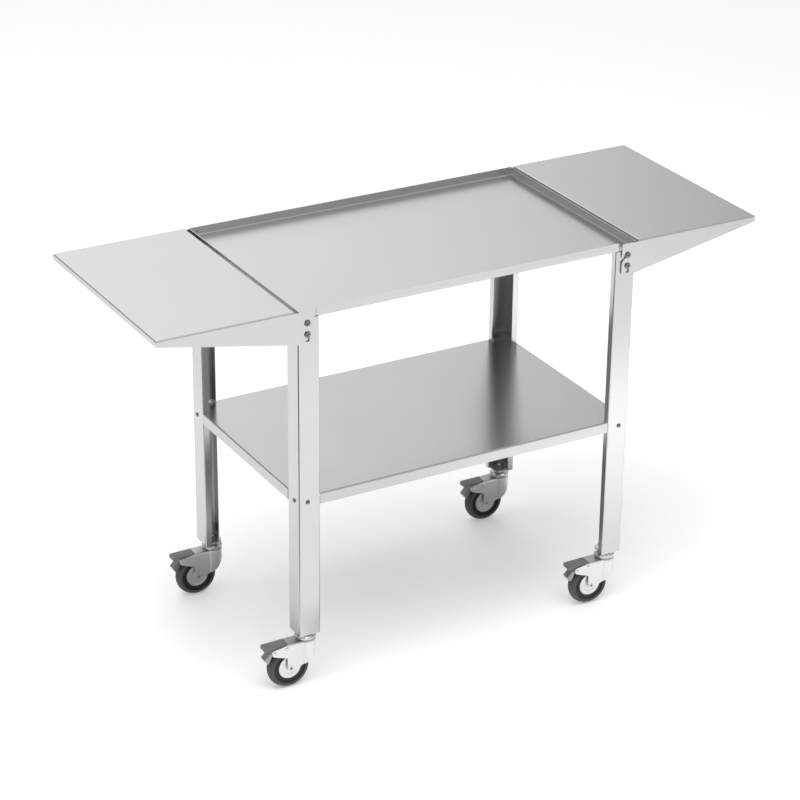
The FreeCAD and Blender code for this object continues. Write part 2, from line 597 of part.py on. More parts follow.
def castor_fork():
    """Pressed fork: crown with a round front wall, web, two side plates from the axle to the pedal pin."""
    toe = FORK_TOE
    arm = PEDAL_ARM_RADIUS
    crown = FORK_CROWN_RADIUS
    low = AXLE_Z - toe
    outline = [(crown, FORK_TOP, 0), (crown, FORK_TOP - FORK_FRONT_DROP, FORK_FRONT_ROUND),
               (FORK_FLANK_X, AXLE_Z + FORK_FLANK_RISE, FORK_FLANK_ROUND),
               (AXLE_X + toe, low, toe / 2), (AXLE_X - toe, low, 0.9 * toe),
               (AXLE_X - toe, AXLE_Z + FORK_ARM_ROOT, arm / 2),
               (PEDAL_X - arm, PEDAL_Z - arm, ARM_ROUND), (PEDAL_X - arm, PEDAL_Z + arm, ARM_ROUND),
               (WEB_END_X, FORK_TOP, 0)]
    shell = fork_block(FORK_OUTER_Y, crown, low, FORK_TOP, FORK_BEND)
    hollow = fork_block(FORK_INNER_Y, crown - FORK_SHEET, low - OVERCUT, WEB_UNDER, 0)
    body = shell.cut(hollow).common(sideways(outline, -crown, crown))
    between_arms = block((PEDAL_X - arm - OVERCUT, WEB_END_X), (-FORK_INNER_Y, FORK_INNER_Y), (low, FORK_TOP))
    body = body.cut(between_arms)
    across = 2 * (FORK_OUTER_Y + OVERCUT)
    start = -FORK_OUTER_Y - OVERCUT
    kingpin_foot = vector(0, 0, WEB_UNDER - OVERCUT)
    return cut(body,
               rod(kingpin_foot, Z_AXIS, KINGPIN_RADIUS + RUNNING_FIT, FORK_SHEET + 2 * OVERCUT),
               rod(vector(AXLE_X, start, AXLE_Z), Y_AXIS, AXLE_RADIUS + THREAD_PLAY, across),
               rod(vector(PEDAL_X, start, PEDAL_Z), Y_AXIS, PEDAL_PIN_RADIUS + THREAD_PLAY, across),
               rod(vector(RIVET_X, start, RIVET_Z), Y_AXIS, RIVET_RADIUS + THREAD_PLAY, across))


def castor_axle():
    """Axle bolt with a recessed head in front, and its nut behind."""
    head_start = vector(AXLE_X, -FORK_OUTER_Y - AXLE_HEAD_HEIGHT, AXLE_Z)
    length = 2 * FORK_OUTER_Y + AXLE_NUT_HEIGHT
    bolt = fuse(rod(head_start, Y_AXIS, AXLE_HEAD_RADIUS, AXLE_HEAD_HEIGHT),
                rod(vector(AXLE_X, -FORK_OUTER_Y, AXLE_Z), Y_AXIS, AXLE_RADIUS, length))
    bolt = bolt.cut(rod(head_start, Y_AXIS, AXLE_RECESS_RADIUS, AXLE_RECESS_DEPTH))
    nut = hexagon(AXLE_NUT_FLATS, AXLE_NUT_HEIGHT, vector(AXLE_X, FORK_OUTER_Y, AXLE_Z), Y_AXIS,
                  AXLE_RADIUS + THREAD_PLAY)
    return Part.makeCompound([bolt, nut])


def turned_wheel(profile):
    """Solid turned about the axle from (radius, y) points."""
    points = [vector(AXLE_X, y, AXLE_Z + r) for r, y in profile]
    return Part.Face(Part.makePolygon(points + points[:1])).revolve(vector(AXLE_X, 0, AXLE_Z), Y_AXIS, 360)


def castor_tyre():
    """Solid rubber tyre with flat sides and a crowned tread."""
    half = WHEEL_WIDTH / 2
    shoulder = WHEEL_RADIUS - TREAD_SHOULDER

    def at(radius, y):
        return vector(AXLE_X, y, AXLE_Z + radius)

    tread = Part.Arc(at(shoulder, -half), at(WHEEL_RADIUS, 0), at(shoulder, half)).toShape()
    bore = TYRE_BORE + THREAD_PLAY
    sides = Part.makePolygon([at(shoulder, half), at(bore, half), at(bore, -half), at(shoulder, -half)])
    face = Part.Face(Part.Wire([tread] + sides.Edges))
    return face.revolve(vector(AXLE_X, 0, AXLE_Z), Y_AXIS, 360)


def castor_hub():
    """Wheel centre: a rim in the tyre, a dished disc and a boss on the axle."""
    bore = AXLE_RADIUS + RUNNING_FIT
    boss = FORK_INNER_Y - HUB_SIDE_PLAY
    face = WHEEL_WIDTH / 2 - HUB_FACE_DEPTH
    dish = face - HUB_FACE_DEPTH
    rim = TYRE_BORE - HUB_FACE_DEPTH
    half_profile = [(bore, boss), (HUB_BOSS_RADIUS, boss), (HUB_BOSS_RADIUS, dish), (rim, dish),
                    (rim, face), (TYRE_BORE, face)]
    return turned_wheel(half_profile + [(r, -y) for r, y in reversed(half_profile)])


def brake_lever():
    """Pedal lever: plate under the pad, barrel on the pivot pin and a hooked claw beside the tyre."""
    half = FORK_INNER_Y - PAD_SIDE_PLAY - PAD_WALL - LEVER_FIT
    plate = block((PAD_OUTER_X + PAD_WALL + LEVER_FIT, PAD_INNER_X - PAD_WALL - LEVER_FIT), (-half, half),
                  (LEVER_TOP - LEVER_SHEET, LEVER_TOP))
    barrel = rod(vector(PEDAL_X, -half, PEDAL_Z), Y_AXIS, LEVER_BARREL_RADIUS, 2 * half)
    tip_z = PEDAL_Z - CLAW_REACH
    clear = WHEEL_RADIUS + CLAW_CLEARANCE
    tip_x = AXLE_X - math.sqrt(clear ** 2 - (tip_z - AXLE_Z) ** 2)
    barrel_r = LEVER_BARREL_RADIUS
    claw = sideways([(PEDAL_X, PEDAL_Z, 0), (PEDAL_X - barrel_r, PEDAL_Z, 0),
                     (tip_x - 3 * CLAW_TIP, tip_z + 3 * CLAW_TIP, CLAW_TIP / 2),
                     (tip_x - CLAW_TIP, tip_z, CLAW_TIP / 4), (tip_x, tip_z, CLAW_TIP / 4),
                     (PEDAL_X - barrel_r / 4, PEDAL_Z - barrel_r, CLAW_TIP)],
                    -CLAW_WIDTH / 2, CLAW_WIDTH / 2)
    body = fuse(plate, barrel, claw)
    bore_start = vector(PEDAL_X, -FORK_INNER_Y, PEDAL_Z)
    return body.cut(rod(bore_start, Y_AXIS, PEDAL_PIN_RADIUS + RUNNING_FIT, FORK_GAP))


def pedal_pad():
    """Plastic cap pushed over the lever's plate, open below."""
    half = FORK_INNER_Y - PAD_SIDE_PLAY
    bottom = PAD_TOP - PAD_DEPTH
    plan = [(PAD_OUTER_X, -half, PAD_OUTER_ROUND), (PAD_INNER_X, -half, PAD_INNER_ROUND),
            (PAD_INNER_X, half, PAD_INNER_ROUND), (PAD_OUTER_X, half, PAD_OUTER_ROUND)]
    body = upright(plan, bottom, PAD_TOP)
    top_edges = [e for e in body.Edges if all(near(v.Z, PAD_TOP) for v in e.Vertexes)]
    body = body.makeFillet(PAD_TOP_ROUND, top_edges)
    pocket_half = half - PAD_WALL
    pocket = block((PAD_OUTER_X + PAD_WALL, PAD_INNER_X - PAD_WALL), (-pocket_half, pocket_half),
                   (bottom - OVERCUT, PAD_TOP - PAD_TOP_WALL))
    return body.cut(pocket)


def brake_pins():
    """Pedal pivot pin across the fork, and a short rivet in each side plate."""
    def headed(x, z, radius, start, length, ends):
        pin = rod(vector(x, start, z), Y_AXIS, radius, length)
        heads = []
        for end in ends:
            foot = vector(x, end * FORK_OUTER_Y, z)
            heads.append(dome(foot, Y_AXIS * end, PIN_HEAD_RADIUS, PIN_HEAD_HEIGHT))
        return fuse(pin, *heads)

    solids = [headed(PEDAL_X, PEDAL_Z, PEDAL_PIN_RADIUS, -FORK_OUTER_Y, 2 * FORK_OUTER_Y, (-1, 1))]
    solids.append(headed(RIVET_X, RIVET_Z, RIVET_RADIUS, -FORK_OUTER_Y, FORK_SHEET, (-1,)))
    solids.append(headed(RIVET_X, RIVET_Z, RIVET_RADIUS, FORK_INNER_Y, FORK_SHEET, (1,)))
    return Part.makeCompound(solids)


def stem_nut():
    """Front-left nut that clamps a castor's stem on the leg's base plate."""
    start = vector(-HALF_X + CASTOR_INSET, -HALF_Y + CASTOR_INSET, CASTOR_HEIGHT + LEG_BASE)
    return hexagon(STEM_NUT_FLATS, STEM_NUT_HEIGHT, start, Z_AXIS, KINGPIN_RADIUS + THREAD_PLAY)


CORNERS = {"front_left": (-1, -1), "front_right": (1, -1), "rear_left": (-1, 1), "rear_right": (1, 1)}

CASTOR_PIECES = {"castor_head": castor_head, "castor_fork": castor_fork, "castor_axle": castor_axle,
                 "castor_tyre": castor_tyre, "castor_hub": castor_hub, "brake_lever": brake_lever,
                 "pedal_pad": pedal_pad, "brake_pins": brake_pins}


def at_every_corner(solids):
    """Group of separate solids: the front-left ones and their copies at the other corners."""
    return Part.makeCompound([corner_copy(s, sx, sy) for sx, sy in CORNERS.values() for s in solids])


def nodes():
    """Every node of the cart, by name."""
    made = {"tray": tray(), "lower_shelf": lower_shelf()}
    front_left_leg = leg()
    front_left_bracket = corner_bracket()
    for corner, (side_x, side_y) in CORNERS.items():
        made[corner + "_leg"] = corner_copy(front_left_leg, side_x, side_y)
        made[corner + "_shelf_bracket"] = corner_copy(front_left_bracket, side_x, side_y)
    made["bracket_screws"] = at_every_corner(bracket_fasteners(dome_screw))
    made["bracket_screw_nuts"] = at_every_corner(bracket_fasteners(screw_nut))
    made["tray_studs"] = at_every_corner(tray_fasteners(welded_stud))
    made["tray_stud_nuts"] = at_every_corner(tray_fasteners(screw_nut))
    made["lower_shelf_studs"] = at_every_corner(shelf_fasteners(flush_stud))
    made["lower_shelf_stud_nuts"] = at_every_corner(shelf_fasteners(screw_nut))
    made["lock_studs"] = at_every_corner([stud(LOCK_Z, True)])
    made["pivot_studs"] = at_every_corner([stud(PIVOT_Z, False)])
    made["stud_nuts"] = at_every_corner([stud_nut(z) for z in (PIVOT_Z, LOCK_Z)])
    made["stud_cap_nuts"] = at_every_corner([cap_nut(z) for z in (PIVOT_Z, LOCK_Z)])
    made["castor_stem_nuts"] = at_every_corner([stem_nut()])
    left_shelf = side_shelf()
    front_left_bush = pivot_bush()
    for name, side_x in (("left", -1), ("right", 1)):
        made[name + "_side_shelf"] = corner_copy(left_shelf, side_x, -1)
        bushes = [corner_copy(front_left_bush, side_x, side_y) for side_y in (-1, 1)]
        made[name + "_pivot_bushes"] = Part.makeCompound(bushes)
    for piece, make in CASTOR_PIECES.items():
        shape = make()
        for corner, (side_x, side_y) in CORNERS.items():
            copy = shape.copy()
            copy.translate(vector(side_x * (HALF_X - CASTOR_INSET), side_y * (HALF_Y - CASTOR_INSET), 0))
            made[corner + "_" + piece] = copy
    return made


os.makedirs("parts", exist_ok=True)
for node_name, node_shape in nodes().items():
    node_shape.exportStep("parts/" + node_name + ".step")
    valid = node_shape.isValid()
    print(node_name, "solids", len(node_shape.Solids), "volume", round(node_shape.Volume), "valid", valid)
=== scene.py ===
"""Looks of a folding griddle cart: finishes, castors and fasteners in detail, studio light and camera."""

from __future__ import annotations

import json
import logging
import math
from dataclasses import dataclass
from enum import Enum
from typing import Any, Iterable, Sequence

import bmesh
import bpy
from mathutils import Matrix, Vector

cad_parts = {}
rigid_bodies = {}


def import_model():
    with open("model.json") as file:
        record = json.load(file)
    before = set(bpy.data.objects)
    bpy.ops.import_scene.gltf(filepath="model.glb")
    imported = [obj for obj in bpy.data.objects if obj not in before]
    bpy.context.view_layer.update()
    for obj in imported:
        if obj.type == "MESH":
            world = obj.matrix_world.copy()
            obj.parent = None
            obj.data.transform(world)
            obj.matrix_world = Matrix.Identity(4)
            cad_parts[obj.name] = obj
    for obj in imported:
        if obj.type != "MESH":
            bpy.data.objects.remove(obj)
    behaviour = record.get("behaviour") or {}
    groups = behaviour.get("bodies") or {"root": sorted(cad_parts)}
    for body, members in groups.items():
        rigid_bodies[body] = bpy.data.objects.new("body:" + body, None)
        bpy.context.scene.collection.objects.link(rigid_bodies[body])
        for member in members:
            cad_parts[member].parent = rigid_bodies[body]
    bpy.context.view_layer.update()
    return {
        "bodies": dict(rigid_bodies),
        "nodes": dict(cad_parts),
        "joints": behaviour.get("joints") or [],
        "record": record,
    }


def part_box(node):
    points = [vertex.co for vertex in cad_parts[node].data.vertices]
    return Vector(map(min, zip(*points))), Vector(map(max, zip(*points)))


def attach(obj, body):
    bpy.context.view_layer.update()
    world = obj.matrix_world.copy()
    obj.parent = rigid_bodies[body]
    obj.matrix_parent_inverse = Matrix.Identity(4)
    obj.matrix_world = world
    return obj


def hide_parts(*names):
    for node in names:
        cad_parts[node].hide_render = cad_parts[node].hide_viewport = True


LOG = logging.getLogger("griddle_cart")
FRAME_BODY = "cart_frame"
MM = 0.001
IMAGE_SIDE = 800
SENSOR_WIDTH = 36.0

Colour = tuple[float, float, float]
Point2 = tuple[float, float]
Point3 = tuple[float, float, float]
Seat = tuple[Vector, Vector]


class Corner(Enum):
    """The cart's four corners."""

    FRONT_LEFT = "front_left"
    FRONT_RIGHT = "front_right"
    REAR_LEFT = "rear_left"
    REAR_RIGHT = "rear_right"

    def named(self, piece: str) -> str:
        """Name of a piece at this corner."""
        return f"{self.value}_{piece}"


class Grain(Enum):
    """Direction that a sheet was brushed in, in the cart's own axes."""

    ALONG_LENGTH = (1.0, 0.0, 0.0)
    UPRIGHT = (0.0, 0.0, 1.0)

    def leaning(self) -> Point3:
        """The direction with a slight lean, so that end faces square to it have a grain too."""
        return (self.value[0], self.value[1] + 0.02, self.value[2])

    def stretch(self, along: float, across: float) -> Point3:
        """Noise frequencies per metre on the three axes, low along the grain and high across it."""
        return tuple(along if part else across for part in self.value)


class Turning(Enum):
    """Axis that a turned piece goes round."""

    UPRIGHT = "z"
    CROSSWISE = "y"


class ShaderSheet:
    """Node tree of one material, built step by step."""

    def __init__(self, name: str) -> None:
        """Start a material with one Principled shader.

        Args:
            name: the material's name.
        """
        self.material = bpy.data.materials.new(name)
        self.material.use_nodes = True
        self.tree = self.material.node_tree
        self.tree.nodes.clear()
        self.shader = self.tree.nodes.new("ShaderNodeBsdfPrincipled")
        output = self.tree.nodes.new("ShaderNodeOutputMaterial")
        self.tree.links.new(self.shader.outputs["BSDF"], output.inputs["Surface"])

    def add(self, kind: str, inputs: dict[str | int, Any] | None = None, **settings: Any) -> bpy.types.Node:
        """Add a node.

        Args:
            kind: Blender's name for the node type.
            inputs: values or sockets for its input sockets.
            **settings: the node's own properties.

        Returns:
            The new node.
        """
        node = self.tree.nodes.new(kind)
        for key, value in settings.items():
            setattr(node, key, value)
        for key, value in (inputs or {}).items():
            self.feed(node.inputs[key], value)
        return node

    def feed(self, socket: bpy.types.NodeSocket, value: Any) -> None:
        """Link a socket, or set its value."""
        if isinstance(value, bpy.types.NodeSocket):
            self.tree.links.new(value, socket)
        else:
            socket.default_value = value

    def set(self, **values: Any) -> None:
        """Set or link the shader's sockets, named with underscores for spaces."""
        for key, value in values.items():
            self.feed(self.shader.inputs[key.replace("_", " ")], value)

    def place(self, scale: Sequence[float] = (1.0, 1.0, 1.0)) -> bpy.types.NodeSocket:
        """Object coordinates stretched by a scale on each axis."""
        coordinates = self.add("ShaderNodeTexCoord")
        return self.add("ShaderNodeMapping", {"Vector": coordinates.outputs["Object"],
                                              "Scale": tuple(scale)}).outputs["Vector"]

    def noise(self, vector: bpy.types.NodeSocket, scale: float = 1.0, detail: float = 3.0,
              roughness: float = 0.55) -> bpy.types.NodeSocket:
        """Noise from 0 to 1 at the given frequency."""
        return self.add("ShaderNodeTexNoise", {"Vector": vector, "Scale": scale, "Detail": detail,
                                               "Roughness": roughness}).outputs["Fac"]

    def spread(self, value: bpy.types.NodeSocket, low: float, high: float,
               start: float = 0.0, end: float = 1.0) -> bpy.types.NodeSocket:
        """Map a value from start..end to low..high, held at the ends."""
        return self.add("ShaderNodeMapRange", {"Value": value, "From Min": start, "From Max": end,
                                               "To Min": low, "To Max": high}).outputs["Result"]

    def join(self, operation: str, first: Any, second: Any) -> bpy.types.NodeSocket:
        """Combine two numbers."""
        return self.add("ShaderNodeMath", {0: first, 1: second}, operation=operation).outputs["Value"]

    def tint(self, share: bpy.types.NodeSocket, low: Colour, high: Colour) -> bpy.types.NodeSocket:
        """Colour between two ends."""
        mix = self.add("ShaderNodeMix", data_type="RGBA")
        self.feed(mix.inputs["Factor"], share)
        self.feed(mix.inputs[6], (*low, 1.0))
        self.feed(mix.inputs[7], (*high, 1.0))
        return mix.outputs[2]

    def relief(self, height: bpy.types.NodeSocket, depth: float, strength: float = 1.0) -> None:
        """Bump the surface by a height field.

        Args:
            height: the height, from 0 to 1.
            depth: metres between 0 and 1.
            strength: share of the bump that shows.
        """
        bump = self.add("ShaderNodeBump", {"Height": height, "Distance": depth, "Strength": strength})
        self.feed(self.shader.inputs["Normal"], bump.outputs["Normal"])


@dataclass(frozen=True)
class BrushedSheet:
    """Stainless sheet with a fine brushed grain, faint haze and a stretched gloss."""

    name: str
    grain: Grain
    colour: Colour = (0.615, 0.611, 0.616)
    roughness: float = 0.235
    gloss_stretch: float = 0.8

    def material(self) -> bpy.types.Material:
        """Make the material."""
        sheet = ShaderSheet(self.name)
        fine = sheet.noise(sheet.place(self.grain.stretch(7.0, 1300.0)), detail=2.0)
        broad = sheet.noise(sheet.place(self.grain.stretch(1.6, 120.0)), detail=4.0)
        haze = sheet.noise(sheet.place(), 5.0, detail=5.0)
        streaks = sheet.join("ADD", sheet.join("MULTIPLY", fine, 0.6), sheet.join("MULTIPLY", broad, 0.4))
        dark = tuple(part * 0.99 for part in self.colour)
        light = tuple(min(1.0, part * 1.01) for part in self.colour)
        shine = sheet.join("ADD", sheet.spread(streaks, -0.01, 0.01, 0.3, 0.7),
                           sheet.spread(haze, self.roughness - 0.012, self.roughness + 0.014, 0.3, 0.7))
        sheet.set(Base_Color=sheet.tint(sheet.spread(streaks, 0.0, 1.0, 0.3, 0.7), dark, light),
                  Roughness=shine, Metallic=1.0, Anisotropic=self.gloss_stretch)
        along = sheet.add("ShaderNodeVectorTransform", {"Vector": self.grain.leaning()},
                          vector_type="VECTOR", convert_from="OBJECT", convert_to="WORLD")
        facing = sheet.add("ShaderNodeNewGeometry").outputs["Normal"]
        across = sheet.add("ShaderNodeVectorMath", {0: facing, 1: along.outputs["Vector"]},
                           operation="CROSS_PRODUCT")
        sheet.feed(sheet.shader.inputs["Tangent"], across.outputs["Vector"])
        sheet.relief(streaks, 0.01 * MM, 0.08)
        return sheet.material


@dataclass(frozen=True)
class PlatedSteel:
    """Plated steel: chrome, zinc or a fastener, with painted shade on faces turned up, which keep the given
    share of their colour.
    """

    name: str
    colour: Colour
    roughness: float
    mottle: float
    # Share of the colour left on faces turned up: painted shade, 1.0 for none.
    painted_level_shade: float = 1.0
    mottle_scale: float = 260.0

    def material(self) -> bpy.types.Material:
        """Make the material."""
        sheet = ShaderSheet(self.name)
        spots = sheet.noise(sheet.place(), self.mottle_scale, detail=4.0)
        cloud = sheet.noise(sheet.place(), self.mottle_scale / 9.0, detail=3.0)
        blend = sheet.join("ADD", sheet.join("MULTIPLY", spots, 0.5), sheet.join("MULTIPLY", cloud, 0.5))
        dark = tuple(part * (1.0 - self.mottle) for part in self.colour)
        light = tuple(min(1.0, part * (1.0 + self.mottle / 2)) for part in self.colour)
        metal = sheet.tint(sheet.spread(blend, 0.0, 1.0, 0.35, 0.65), dark, light)
        # Painted shade: the colour of faces turned up is scaled down towards the given share.
        if self.painted_level_shade < 1.0:
            facing = sheet.add("ShaderNodeNewGeometry").outputs["Normal"]
            rise = sheet.add("ShaderNodeSeparateXYZ", {"Vector": facing}).outputs["Z"]
            shade = sheet.spread(rise, 1.0, self.painted_level_shade, 0.75, 0.97)
            darker = sheet.add("ShaderNodeVectorMath", {0: metal, 1: shade}, operation="MULTIPLY")
            metal = darker.outputs["Vector"]
        sheet.set(Base_Color=metal, Metallic=1.0,
                  Roughness=sheet.spread(blend, self.roughness * 0.8, self.roughness * 1.3, 0.3, 0.7))
        sheet.relief(spots, 0.02 * MM, 0.3)
        return sheet.material


@dataclass(frozen=True)
class MouldedStuff:
    """Moulded rubber or plastic with a fine grained skin and dusty high spots."""

    name: str
    colour: Colour
    dust: Colour
    roughness: float
    skin_scale: float
    skin_depth: float

    def material(self) -> bpy.types.Material:
        """Make the material."""
        sheet = ShaderSheet(self.name)
        skin = sheet.noise(sheet.place(), self.skin_scale, detail=5.0)
        patches = sheet.noise(sheet.place(), self.skin_scale / 18.0, detail=4.0)
        share = sheet.join("MULTIPLY", sheet.spread(skin, 0.0, 1.0, 0.4, 0.7),
                           sheet.spread(patches, 0.15, 1.0, 0.35, 0.7))
        sheet.set(Base_Color=sheet.tint(share, self.colour, self.dust),
                  Roughness=sheet.spread(patches, self.roughness - 0.07, self.roughness + 0.08, 0.3, 0.7))
        sheet.relief(skin, self.skin_depth, 0.6)
        return sheet.material


class Finishes:
    """Every material of the cart, made once."""

    def __init__(self) -> None:
        """Make the materials."""
        self.level_sheet = BrushedSheet("brushed_sheet_lengthwise", Grain.ALONG_LENGTH).material()
        # Painted shade: the lower shelf is the same brushed sheet, given a darker colour for the shade under
        # the tray.
        self.shaded_lower_sheet = BrushedSheet("brushed_sheet_below_painted_shade", Grain.ALONG_LENGTH,
                                        (0.555, 0.550, 0.553)).material()
        self.upright_sheet = BrushedSheet("brushed_sheet_upright", Grain.UPRIGHT,
                                          (0.605, 0.601, 0.606)).material()
        self.fastener = PlatedSteel("dark_fastener", (0.24, 0.238, 0.24), 0.17, 0.12).material()
        # Painted shade: the chrome cap nuts get a much darker colour than the chrome, standing in for the
        # dark surroundings that they reflect.
        self.cap = PlatedSteel("polished_cap_nut_painted_shade", (0.25, 0.25, 0.255), 0.09, 0.05).material()
        self.chrome = PlatedSteel("polished_chrome", (0.74, 0.745, 0.76), 0.08, 0.04).material()
        # The zinc keeps 0.6 of its colour on faces turned up: painted shade.
        self.zinc = PlatedSteel("bright_zinc", (0.78, 0.785, 0.79), 0.40, 0.025, 0.6).material()
        self.pressing = PlatedSteel("dull_pressed_steel", (0.36, 0.36, 0.365), 0.36, 0.05).material()
        self.rubber = MouldedStuff("grey_black_rubber", (0.075, 0.074, 0.076), (0.110, 0.108, 0.108),
                                   0.62, 900.0, 0.05 * MM).material()
        self.core = MouldedStuff("black_wheel_core", (0.009, 0.009, 0.009), (0.016, 0.016, 0.016),
                                 0.45, 700.0, 0.03 * MM).material()
        self.pedal = MouldedStuff("grey_pedal_plastic", (0.180, 0.177, 0.179), (0.240, 0.236, 0.238),
                                  0.47, 1400.0, 0.03 * MM).material()
        self.bush = MouldedStuff("black_bush_plastic", (0.012, 0.012, 0.012), (0.02, 0.02, 0.02),
                                 0.4, 900.0, 0.02 * MM).material()


def new_object(name: str, mesh: bpy.types.Mesh) -> bpy.types.Object:
    """Put a mesh in the scene under a name."""
    made = bpy.data.objects.new(name, mesh)
    bpy.context.scene.collection.objects.link(made)
    return made


def finished_mesh(name: str, shape: bmesh.types.BMesh, crease: float = 35.0) -> bpy.types.Mesh:
    """Close a mesh under construction: outward normals, smooth faces, sharp creases.

    Args:
        name: the new mesh's name.
        shape: the mesh under construction, which is freed.
        crease: edges that turn by more than this many degrees stay sharp.

    Returns:
        The finished mesh.
    """
    bmesh.ops.remove_doubles(shape, verts=shape.verts, dist=0.002 * MM)
    bmesh.ops.recalc_face_normals(shape, faces=shape.faces)
    for face in shape.faces:
        face.smooth = True
    for edge in shape.edges:
        edge.smooth = edge.is_manifold and edge.calc_face_angle(0.0) < math.radians(crease)
    mesh = bpy.data.meshes.new(name)
    shape.to_mesh(mesh)
    shape.free()
    return mesh


def eased(corners: Sequence[Point3], steps: int) -> list[Point2]:
    """Closed outline with each corner rounded by its own radius.

    Args:
        corners: (a, b, radius) for each corner, in order.
        steps: straight pieces in each rounding.

    Returns:
        The points of the outline.
    """
    outline: list[Point2] = []
    for index, (a, b, radius) in enumerate(corners):
        here = Vector((a, b))
        if radius == 0:
            outline.append((a, b))
            continue
        before = (Vector(corners[index - 1][:2]) - here).normalized()
        after = (Vector(corners[(index + 1) % len(corners)][:2]) - here).normalized()
        half = before.angle(after) / 2
        middle = here + (before + after).normalized() * (radius / math.sin(half))
        start = here + before * (radius / math.tan(half)) - middle
        sweep = start.angle_signed(here + after * (radius / math.tan(half)) - middle)
        for step in range(steps + 1):
            turn = -sweep * step / steps
            x = start.x * math.cos(turn) - start.y * math.sin(turn)
            y = start.x * math.sin(turn) + start.y * math.cos(turn)
            outline.append((middle.x + x, middle.y + y))
    return outline


def both_sides(corners: Sequence[Point3]) -> list[Point3]:
    """Corners of a closed outline from those of its upper half, mirrored at height 0."""
    return [*corners, *((radius, -height, ease) for radius, height, ease in reversed(corners))]


def turned(name: str, outline: Sequence[Point2], centre: Vector, turning: Turning,
           steps: int = 72) -> bpy.types.Mesh:
    """Solid of revolution.

    Args:
        name: the new mesh's name.
        outline: closed (radius, height) outline in metres, heights along the axis.
        centre: the point of the axis where the height is 0.
        turning: the axis.
        steps: copies of the outline round the axis.

    Returns:
        The mesh, in the cart's frame.
    """
    shape = bmesh.new()
    rings = []
    for step in range(steps):
        angle = 2 * math.pi * step / steps
        ring = []
        for radius, height in outline:
            side, rise = radius * math.cos(angle), radius * math.sin(angle)
            offset = (side, rise, height) if turning is Turning.UPRIGHT else (side, height, rise)
            ring.append(shape.verts.new(centre + Vector(offset)))
        rings.append(ring)
    for index, ring in enumerate(rings):
        following = rings[(index + 1) % steps]
        for place in range(len(outline)):
            nearby = (place + 1) % len(outline)
            shape.faces.new((ring[place], ring[nearby], following[nearby], following[place]))
    return finished_mesh(name, shape)


def lofted(name: str, loops: Sequence[Sequence[Vector]]) -> bpy.types.Mesh:
    """Skin over loops of equal length, closed by a face at each end."""
    shape = bmesh.new()
    rows = [[shape.verts.new(point) for point in loop] for loop in loops]
    for low, high in zip(rows, rows[1:]):
        for place in range(len(low)):
            nearby = (place + 1) % len(low)
            shape.faces.new((low[place], low[nearby], high[nearby], high[place]))
    shape.faces.new(rows[0])
    shape.faces.new(rows[-1])
    return finished_mesh(name, shape)


